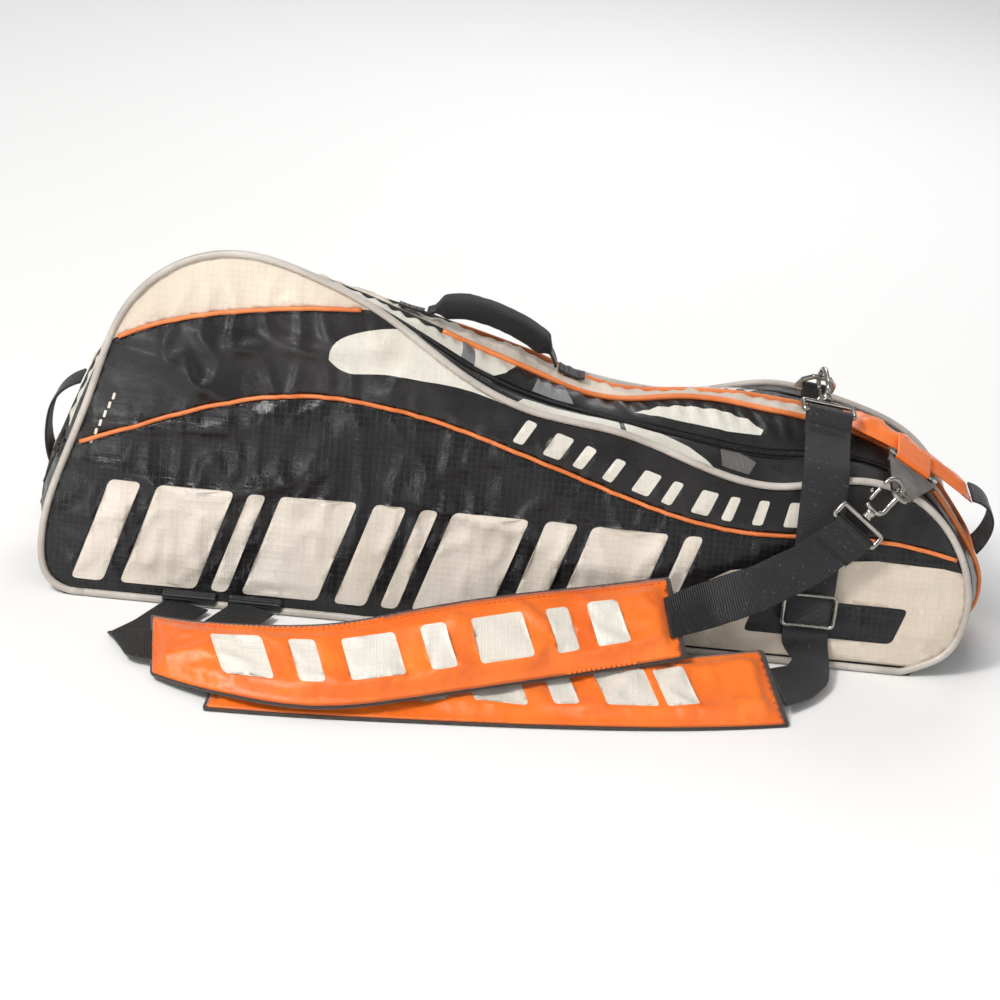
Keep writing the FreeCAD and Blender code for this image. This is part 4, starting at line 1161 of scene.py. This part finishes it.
def shoulder_pad(label, low_edge, high_edge, bars, seed):
    """One shoulder pad: orange satin over foam with plain printed bars, on a mesh lining."""
    place, length, width = pad_place(low_edge, high_edge)
    prints = [(slanted_bar(x, 17, w, width - 34, -0.25, 4.0), "pad_print") for x, w in bars]
    for shape, _ in prints:
        shape[:, 0] = np.clip(shape[:, 0], 12, length - 12)
    sink = 1.6
    pillow(label + "_pad_cover", place, length, width, 4.6, sink, prints, [label + "_pad"], seed)
    edge_stitches(label + "_pad_stitches", place, length, width, sink)
    backing = rectangle(-2.5, -1.5, length + 3.5, width + 1.5, 6.0)
    parts = {"": (label + "_pad_mesh", "mesh_black", "mesh_black", None, [label + "_pad_lining"])}

    def wide_place(v):
        inner = np.stack([np.clip(v[:, 0], 0.5, length - 0.5), v[:, 1]], 1)
        ahead = unit_rows(place(inner + (0.4, 0)) - place(inner - (0.4, 0)))
        return place(inner) + ahead * (v[:, 0] - inner[:, 0])[:, None]
    cloth(parts, "bag", backing, [], 7.0, wide_place,
          lambda v, p: -2.15 + 0.3 * noise_at(p, 25.0, seed=seed), thickness=2.0)


def steady(stations, step):
    """Strap stations as evenly spaced middles and width directions, eased at the bends."""
    middle, side = np.array([m for m, _ in stations], float), np.array([s for _, s in stations], float)
    along = along_line(middle)
    stops = np.linspace(0, along[-1], max(int(along[-1] / step), 4) + 1)
    rows = np.concatenate([read_off(stops, along, middle), read_off(stops, along, side)], axis=1)
    for _ in range(int(14 / step)):
        rows[1:-1] = (rows[:-2] + 2 * rows[1:-1] + rows[2:]) / 4
    return rows[:, :3], unit_rows(rows[:, 3:])


def ribbon(name, middle, side, width, thick, nodes, wave, seed, edge_roll=0.5, body="bag",
           slot="webbing_black", mat="webbing_black"):
    """A woven strap along a path: rounded selvedges, slight waves and edges that roll a little.

    side is its width direction, one for all or one per point. Returns the strap's normals."""
    side = np.broadcast_to(side, middle.shape)
    normal = unit_rows(np.cross(side, directions(middle)))
    along = along_line(middle)
    half = width / 2
    profile = []
    for share in (-1, -0.985, -0.93, -0.75, -0.5, -0.25, 0, 0.25, 0.5, 0.75, 0.93, 0.985, 1):
        fullness = 0.35 if abs(share) == 1 else 0.8 if abs(share) > 0.98 else 1.0
        profile.append((share * half, thick / 2 * fullness))
    profile += [(c, -h) for c, h in reversed(profile)]
    verts, flat = [], []
    for i in range(len(middle)):
        for c, h in profile:
            base = middle[i] + side[i] * c
            bend = wave * noise.noise(Vector(base / 26.0) + Vector((seed, 0, 0)))
            roll = noise.noise(Vector(base / 34.0) + Vector((0, seed, 3.0)))
            bend += edge_roll * (c / half) ** 4 * roll
            verts.append(base + normal[i] * (h + bend))
            flat.append((along[i], c))
    faces = ring_faces(len(middle), len(profile))
    flip_if_inside_out(finish_piece(name, verts, faces, body, [mat], flat, nodes=nodes))
    return normal


def flip_if_inside_out(piece):
    """Turns a closed mesh's faces outward if they point inward."""
    mesh = piece.data
    volume = 0.0
    for polygon in mesh.polygons:
        volume += polygon.normal.dot(mesh.vertices[polygon.vertices[0]].co) * polygon.area
    if volume < 0:
        mesh.flip_normals()


def loop_round(middle, side, bar, fold, radius=3.7):
    """Adds a strap's turn round a metal bar and the sewn tail of length fold behind it."""
    ahead = middle[-1] - middle[-6]
    ahead = unit(ahead - side[-1] * ahead.dot(side[-1]))
    last_side = side[-1]
    normal = np.cross(last_side, ahead)
    keep = np.linalg.norm(middle - bar, axis=1) > 9.0
    middle, side = middle[keep], side[keep]
    turn = []
    for a in np.radians(-10 + 20 * np.arange(11)):
        turn.append(bar + normal * radius * math.cos(a) + ahead * radius * math.sin(a))
    tail = []
    for share in np.arange(1, 9) / 8:
        drop = radius - (radius - 2.0) * min(share * 1.6, 1)
        point = bar - ahead * fold * share - normal * drop
        near = middle[np.argmin(np.linalg.norm(middle - point, axis=1))]
        tail.append(point * 0.45 + (near - normal * 2.1) * 0.55 if share > 0.4 else point)
    added = turn + tail
    return np.concatenate([middle, added]), np.concatenate([side, [last_side] * len(added)])


def cross_rows(name, middle, side, normal, distances, width, lift):
    """Rows of black stitches straight across a strap, at distances from its end."""
    count = 14
    reach = np.linspace(-width / 2 + 2.5, width / 2 - 2.5, count)[:, None]
    side = np.broadcast_to(side, middle.shape)
    along = along_line(middle)
    rows = []
    for distance in distances:
        i = int(np.argmin(np.abs(along - distance)))
        line = middle[i] + side[i] * reach + normal[i] * lift
        rows.append((line, np.repeat(normal[i:i + 1] * np.sign(lift), count, axis=0)))
    stitches(name, rows, "bag", "thread_black", 2.4, 1.0, 0.34)


HOOK_A_POST, HOOK_A_AXIS = np.array([299, -104, 136.0]), unit((0.60, 0.25, 0.76))
HOOK_A_ACROSS = unit((-0.785, 0.0, 0.62))
HOOK_B_POST, HOOK_B_AXIS = np.array([267, -26, 201.0]), unit((-0.10, 0.96, 0.26))
HOOK_B_ACROSS = unit(np.cross(HOOK_B_AXIS, (0.17, 0.0, 0.985)))
HOOK_B_BOW = unit(np.cross(HOOK_B_AXIS, HOOK_B_ACROSS))
EYE_BACK = 12.0
HOOK_LENGTH = 42.0
FOLD = 24.0
ACROSS_BAG = (0, 1.0, 0)
ADJUSTER_CENTRE = np.array([267, -104, 52.0])


def strap_webbing():
    """Every run of strap webbing, with its turns round the hooks' eyes and its stitch rows."""
    for label, stations, post, axis, mat, seed in (
            ("strap_a_webbing_right", WEBBING_A_RIGHT, HOOK_A_POST, HOOK_A_AXIS, "webbing_black", 1.0),
            ("strap_b_webbing_upper", WEBBING_B_UPPER[::-1], HOOK_B_POST, HOOK_B_AXIS,
             "webbing_twill", 2.0)):
        middle, side = loop_round(*steady(stations, 2.5), post - axis * EYE_BACK, FOLD)
        normal = ribbon(label + "_strap", middle, side, WEBBING_WIDTH, 1.8, [label], 0.7, seed,
                        mat=mat)
        turn_start = along_line(middle)[-1] - FOLD - 12.0
        lift = 1.05 if normal[len(normal) // 2][1] < 0 else -1.05
        distances = [turn_start - 22, turn_start - 18, turn_start - 14]
        cross_rows(label + "_bartack", middle, side, normal, distances, WEBBING_WIDTH, lift)
    ribbon("strap_b_webbing_lower_strap", *steady(WEBBING_B_LOWER, 2.5), WEBBING_WIDTH, 1.8,
           ["strap_b_webbing_lower"], 0.6, 3.0, mat="webbing_twill")
    for label, stations, seed in (("strap_a_webbing_left", WEBBING_A_LEFT, 4.0),
                                  ("strap_b_webbing_left", WEBBING_B_LEFT, 5.0)):
        middle, side = steady(stations, 2.0)
        from_pad = np.linalg.norm(middle - middle[0], axis=1)
        middle[:, 2] -= 2.6 * np.exp(-(from_pad / 14.0) ** 2)
        middle[:, 2] = np.maximum(middle[:, 2], 1.6)
        ribbon(label + "_strap", middle, side, WEBBING_WIDTH, 1.7, [label], 0.3, seed, 0.2)


def sewn_tabs():
    """The doubled webbing tabs that hold the straps' left ends to the bag's lower edge."""
    shares = np.arange(13) / 12
    for i, x in enumerate((-238.0, -184.0)):
        middle = np.array([(x, -104.6 - 4.2 * math.sin(math.pi * s), 13.5 - 12.2 * s) for s in shares])
        nodes = ["strap_anchor_tabs"] if i == 0 else []
        ribbon("strap_tab_%d" % i, middle, (1.0, 0, 0), 44.0, 2.6, nodes, 0.3, i, 0)


def ring_tab():
    """The short doubled webbing that holds the D-ring's straight side on the spine."""
    rim = HOOK_B_POST + HOOK_B_AXIS * (HOOK_LENGTH - 7.0)
    rise = np.array([-0.10, -0.62, 0.78])
    rise = unit(rise - HOOK_B_ACROSS * rise.dot(HOOK_B_ACROSS))
    base = rim - rise * 18.0
    angles = [math.radians(a) for a in range(0, 181, 20)]
    leg = [(4.4, -12.0), (4.0, -7.0), (3.7, -3.0)]
    path = leg + [(3.6 * math.cos(a), 3.6 * math.sin(a)) for a in angles]
    path += [(-y, z) for y, z in reversed(leg)]
    middle = np.array([base + (0, y, z) for y, z in path])
    ribbon("d_ring_tab_strap", middle, HOOK_B_ACROSS, 20.0, 1.5, ["d_ring_tab"], 0.15, 16.0, 0.0)


def handle_sleeve():
    """The stuffed, brushed black sleeve of the carry handle, with a seam along its underside."""
    middle = even([(x, 2.0, z) for x, z in HANDLE_LINE[1:-1]], 2.2)
    sides, ups = frames(middle)
    if ups[0][2] < 0:
        sides, ups = -sides, -ups
    around = 32
    along = along_line(middle)
    verts, flat = [], []
    for i, spot in enumerate(middle):
        end = min(along[i], along[-1] - along[i])
        full = smooth_step(np.array(end), -1.0, 9.0)
        half_w = 9.2 + 5.2 * full
        half_t = 2.6 + 6.2 * full
        for j in range(around):
            a = 2 * math.pi * j / around
            c, s = (math.copysign(abs(v) ** 0.72, v) for v in (math.cos(a), math.sin(a)))
            point = spot + sides[i] * c * half_w + ups[i] * s * half_t
            dent = 0.7 * noise.noise(Vector(point / 17.0)) + 0.35 * noise.noise(Vector(point / 6.0))
            seam = -0.9 * math.exp(-((a - 1.5 * math.pi) / 0.13) ** 2)
            out = unit(sides[i] * c * half_t + ups[i] * s * half_w)
            verts.append(point + out * (dent + seam))
            flat.append((along[i], a * 8))
    piece = finish_piece("handle_sleeve", verts, ring_faces(len(middle), around), "handle",
                         ["handle_black"], flat, nodes=["handle_grip"])
    flip_if_inside_out(piece)


def make_handle():
    """Carry handle: the sleeve, the webbing through it and the two tabs sewn to the spine."""
    handle_sleeve()
    core = even([(x, 2.0, z) for x, z in HANDLE_LINE], 3.0)
    ribbon("handle_core_strap", core, ACROSS_BAG, 18.0, 2.2, ["handle_webbing"], 0.2, 6.0, 0.0,
           body="handle")
    width = 18.5
    for i, (line, side) in enumerate((([(-90, 241), (-79, 238), (-69, 236.4)], (0, 0.97, -0.24)),
                                      ([(46, 199.5), (54, 195.5), (68, 193)], (0, 1.0, -0.06)))):
        middle = even([(x, 2.0, z + 0.8) for x, z in line], 2.0)
        side = unit(side)
        nodes = ["handle_anchor_tabs"] if i == 0 else []
        normal = ribbon("handle_tab_%d" % i, middle, side, width, 2.2, nodes, 0.2, 7.0 + i, 0.0)
        lift = 1.3 if normal[0][2] > 0 else -1.3
        cross_rows("handle_tab_stitches_%d" % i, middle, side, normal, [5, 9, 16, 20], width, lift)


def make_end_grip():
    """Orange pad over the grip end, the hem that holds the ring's rod, and both webbing loops."""
    rear_edge = [(x, 22.0, z - 0.9) for x, z in END_PAD_LINE]
    front_edge = [(286, -30, 186.5), (311, -41, 180), (340, -43, 168), (371, -36, 148),
                  (400, -20, 125.5)]
    place, length, width = pad_place(front_edge, rear_edge)
    sink = 1.8
    pillow("end_grip_cover", place, length, width, 4.0, sink, [], ["end_grip_pad"], 12.0)
    edge_stitches("end_grip_stitches", place, length, width, sink)
    rod_left, rod_right = np.array([319, -47, 175.0]), np.array([361, -47, 150.0])
    along = unit(rod_right - rod_left)
    middle = (rod_left + rod_right) / 2
    out = unit(np.cross(along, ACROSS_BAG))
    out *= np.sign(out[2])
    path = []
    for a in np.radians(-150 + 37.5 * np.arange(9)):
        path.append(middle + np.array([0, -3.5, 0]) * math.cos(a) + out * 3.5 * math.sin(a))
    for y, height in ((4, 3.6), (10, 4.6), (17, 6.2), (25, 8.0)):
        path.append(middle + np.array([0, y, 0]) + out * height)
    ribbon("end_grip_hem", *steady([(point, along) for point in path], 1.6), 34.0, 1.4, [], 0.5, 13.0,
           0.6, slot="pad_orange", mat="pad_orange")
    loop = even([(x, 0.0, z) for x, z in END_LOOP_LINE], 2.5)
    ribbon("end_grip_loop", loop, ACROSS_BAG, WEBBING_WIDTH, 2.0, ["end_grip_webbing"], 0.7, 14.0)
    haul = even([(x, DIVIDER_Y, z) for x, z in HAUL_LOOP_LINE], 2.5)
    ribbon("haul_loop_strap", haul, ACROSS_BAG, 30.0, 2.2, ["end_haul_loop"], 0.7, 15.0)


def lathe(centre, axis, profile):
    """A turned shape as a tube: profile is (distance along the axis, radius)."""
    return np.array([centre + axis * h for h, _ in profile]), [radius for _, radius in profile], False


def snap_hook(label, gate_body, post, axis, across, bow):
    """A cast swivel hook: rounded eye, turned collar, thick curved bow, gate with thumb stud."""
    finish = ("metal_gunmetal", "gunmetal")
    half = across * 21.8
    back = axis * EYE_BACK
    eye = round_corners([post - half, post + half, post + half - back, post - half - back], 2.6,
                        (0, 0.25, 0.5, 0.75, 1))
    tubes(label + "_eye_wire", [(eye, 2.2, True)], "bag", *finish, [label + "_eye"], 14)
    collar = lathe(post, axis, [(2.7, 2.4), (2.9, 4.3), (4.2, 4.6), (5.0, 3.7), (6.2, 3.7), (7.0, 4.6),
                                (8.6, 4.6), (9.6, 4.2), (10.9, 3.0)])
    shoulder = post + axis * 11.0

    def spot(across_bow, ahead):
        return shoulder + bow * across_bow + axis * ahead
    points = [shoulder, spot(-4.5, 0.4), spot(-7.6, 3.2), spot(-8.0, 9.0), spot(-8.0, 16.0)]
    centre = post + axis * 34.0
    for a in np.radians(np.linspace(180, 0, 7)):
        points.append(centre + bow * 8.0 * math.cos(a) + axis * 8.0 * math.sin(a))
    points.append(centre + bow * 8.0 - axis * 1.8)
    path = even(points, 1.3)
    thick = 2.0 + 0.35 * np.sin(np.linspace(0, math.pi, len(path)))
    thick[-4:] = (2.0, 1.9, 1.7, 1.2)
    lug = even([shoulder, spot(4.5, 0.3), spot(7.8, 1.4)], 1.2)
    tubes(label + "_cast", [collar, (path, thick, False), (lug, 2.1, False)], label, *finish,
          [label + "_body"], 16)
    foot = post + axis * 15.8 + bow * 8.0
    tip = post + axis * 28.3 + bow * 8.0
    middle = (foot + tip) / 2
    stick = even([foot, middle + bow * 0.2, tip], 1.5)
    stud = lathe(middle, bow, [(0.5, 1.1), (3.2, 1.1), (3.5, 1.9), (4.6, 2.1), (5.4, 1.6), (5.6, 0.6)])
    tubes(label + "_latch", [(stick, 1.6, False), stud], gate_body, *finish, [label + "_gate"], 14)


def make_adjuster():
    """Ladder adjuster: rounded frame with a lug at each side, and the centre bar behind it."""
    half_width, half_height, depth = 21, 14, 2.8
    front = ADJUSTER_CENTRE + (0, -depth, 0)
    behind = ADJUSTER_CENTRE + (0, depth, 0)
    frame_path = []
    for x, z in rectangle(-half_width, -half_height, half_width, half_height, 3.0, 3.5):
        bow = -0.4 * math.sin(math.pi * (z + half_height) / (2 * half_height))
        frame_path.append(front + np.array([x, bow, z]))
    loops = [(frame_path, 1.7, True)]
    for x in (-half_width, half_width):
        start = front + np.array([x, 0, 0])
        loops.append((np.array([start, start + (0, depth, 0), start + (0, 2 * depth, 0)]), 1.6, False))
    tubes("adjuster_loop", loops, "adjuster", "adjuster_dark", "gunmetal", ["adjuster_frame"], 12)
    bar = even([behind - (half_width, 0, 0), behind, behind + (half_width, 0, 0)], 3.0)
    tubes("adjuster_rod", [(bar, 1.5, False)], "adjuster", "adjuster_dark", "gunmetal",
          ["adjuster_bar"], 12)


CAD_FINISHES = {
    "gunmetal": ("tri_ring_plate", "tri_ring_rod", "d_ring"),
    "slider_metal": ("front_zip_slider", "front_zip_pull", "rear_zip_slider", "rear_zip_pull"),
    "board_black": ("base_boards",),
}


def dress_cad_parts():
    """CAD parts whose shape is kept get their finish."""
    for finish, nodes in CAD_FINISHES.items():
        for node in nodes:
            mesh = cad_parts[node].data
            mesh.materials.clear()
            mesh.materials.append(MAT[finish])


shoulder_pad("strap_a", PAD_A_LOWER_EDGE, PAD_A_UPPER_EDGE,
             [(70, 42), (132, 20), (172, 42), (234, 20), (274, 42), (336, 20), (372, 26)], 21.0)
shoulder_pad("strap_b", PAD_B_LOWER_EDGE, PAD_B_UPPER_EDGE,
             [(60, 20), (100, 42), (162, 20), (202, 42), (264, 20), (304, 42), (352, 26)], 31.0)
strap_webbing()
sewn_tabs()
ring_tab()
make_handle()
make_end_grip()
snap_hook("hook_a", "gate_a", HOOK_A_POST, HOOK_A_AXIS, HOOK_A_ACROSS, HOOK_A_ACROSS)
snap_hook("hook_b", "gate_b", HOOK_B_POST, HOOK_B_AXIS, HOOK_B_ACROSS, HOOK_B_BOW)
make_adjuster()
dress_cad_parts()


# ---------------------------------------------------------------- floor, light and camera

def make_stage():
    """A plain pale floor."""
    reach = 25
    corners = [(-reach, -reach, 0), (reach, -reach, 0), (reach, reach, 0), (-reach, reach, 0)]
    mesh = bpy.data.meshes.new("floor")
    mesh.from_pydata(corners, [], [(0, 1, 2, 3)])
    floor = add_object("floor", mesh)
    m = Nodes("floor_pale", 0.8)
    m.shader.inputs["Base Color"].default_value = (0.86, 0.86, 0.86, 1.0)
    mesh.materials.append(m.mat)


def make_camera():
    """From the front, 25 degrees up, rolled so that the grip end is lower."""
    up_angle, roll, reach = math.radians(25.0), math.radians(5.6), 2.1
    target = Vector((0.008, -0.060, 0.102))
    back = Vector((0, -math.cos(up_angle), math.sin(up_angle)))
    right = Vector((1, 0, 0))
    up = back.cross(right)
    turned_right = right * math.cos(roll) + up * math.sin(roll)
    turned_up = up * math.cos(roll) - right * math.sin(roll)
    data = bpy.data.cameras.new("camera")
    data.lens = 92.0
    data.sensor_width = 36.0
    camera = add_object("camera", data)
    spot = target + back * reach
    rows = [(turned_right[i], turned_up[i], back[i], spot[i]) for i in range(3)]
    camera.matrix_world = Matrix(rows + [(0, 0, 0, 1)])
    bpy.context.scene.camera = camera


def make_world():
    """Even white light from all round."""
    world = bpy.data.worlds.new("studio")
    world.use_nodes = True
    background = world.node_tree.nodes["Background"]
    background.inputs["Color"].default_value = (1, 1, 1, 1)
    background.inputs["Strength"].default_value = 0.36
    bpy.context.scene.world = world


# Round lamps: name, place and target in metres, diameter in metres, power in watts, colour
LAMPS = (
    ("key", (-1.1, -1.2, 1.9), (0, 0, 0.1), 0.50, 34.0, (1.0, 0.97, 0.93)),
    ("low", (-1.0, -2.0, 0.42), (-0.1, 0, 0.12), 0.30, 7.0, (1, 1, 1)),
    ("fill", (1.6, -1.6, 1.0), (0.1, 0, 0.1), 1.6, 7.0, (1, 1, 1)),
    ("rim", (0.3, 1.7, 1.5), (0, 0, 0.15), 1.2, 14.0, (1, 1, 1)),
)


def aim(direction):
    """The rotation that points a light along a direction."""
    return direction.to_track_quat("-Z", "Y").to_euler()


def make_light():
    """The round lamps, and one broad soft light like a window's."""
    for name, place, target, size, power, color in LAMPS:
        data = bpy.data.lights.new(name, "AREA")
        data.shape = "DISK"
        data.size = size
        data.energy = power
        data.color = color
        lamp = add_object(name, data)
        lamp.location = place
        lamp.rotation_euler = aim(Vector(target) - Vector(place))
    data = bpy.data.lights.new("broad", "SUN")
    data.energy = 0.9
    data.angle = math.radians(40.0)
    add_object("broad", data).rotation_euler = aim(Vector((0.45, 0.35, -0.82)))


make_stage()
make_world()
make_light()
make_camera()
bpy.context.scene.view_settings.view_transform = "Standard"
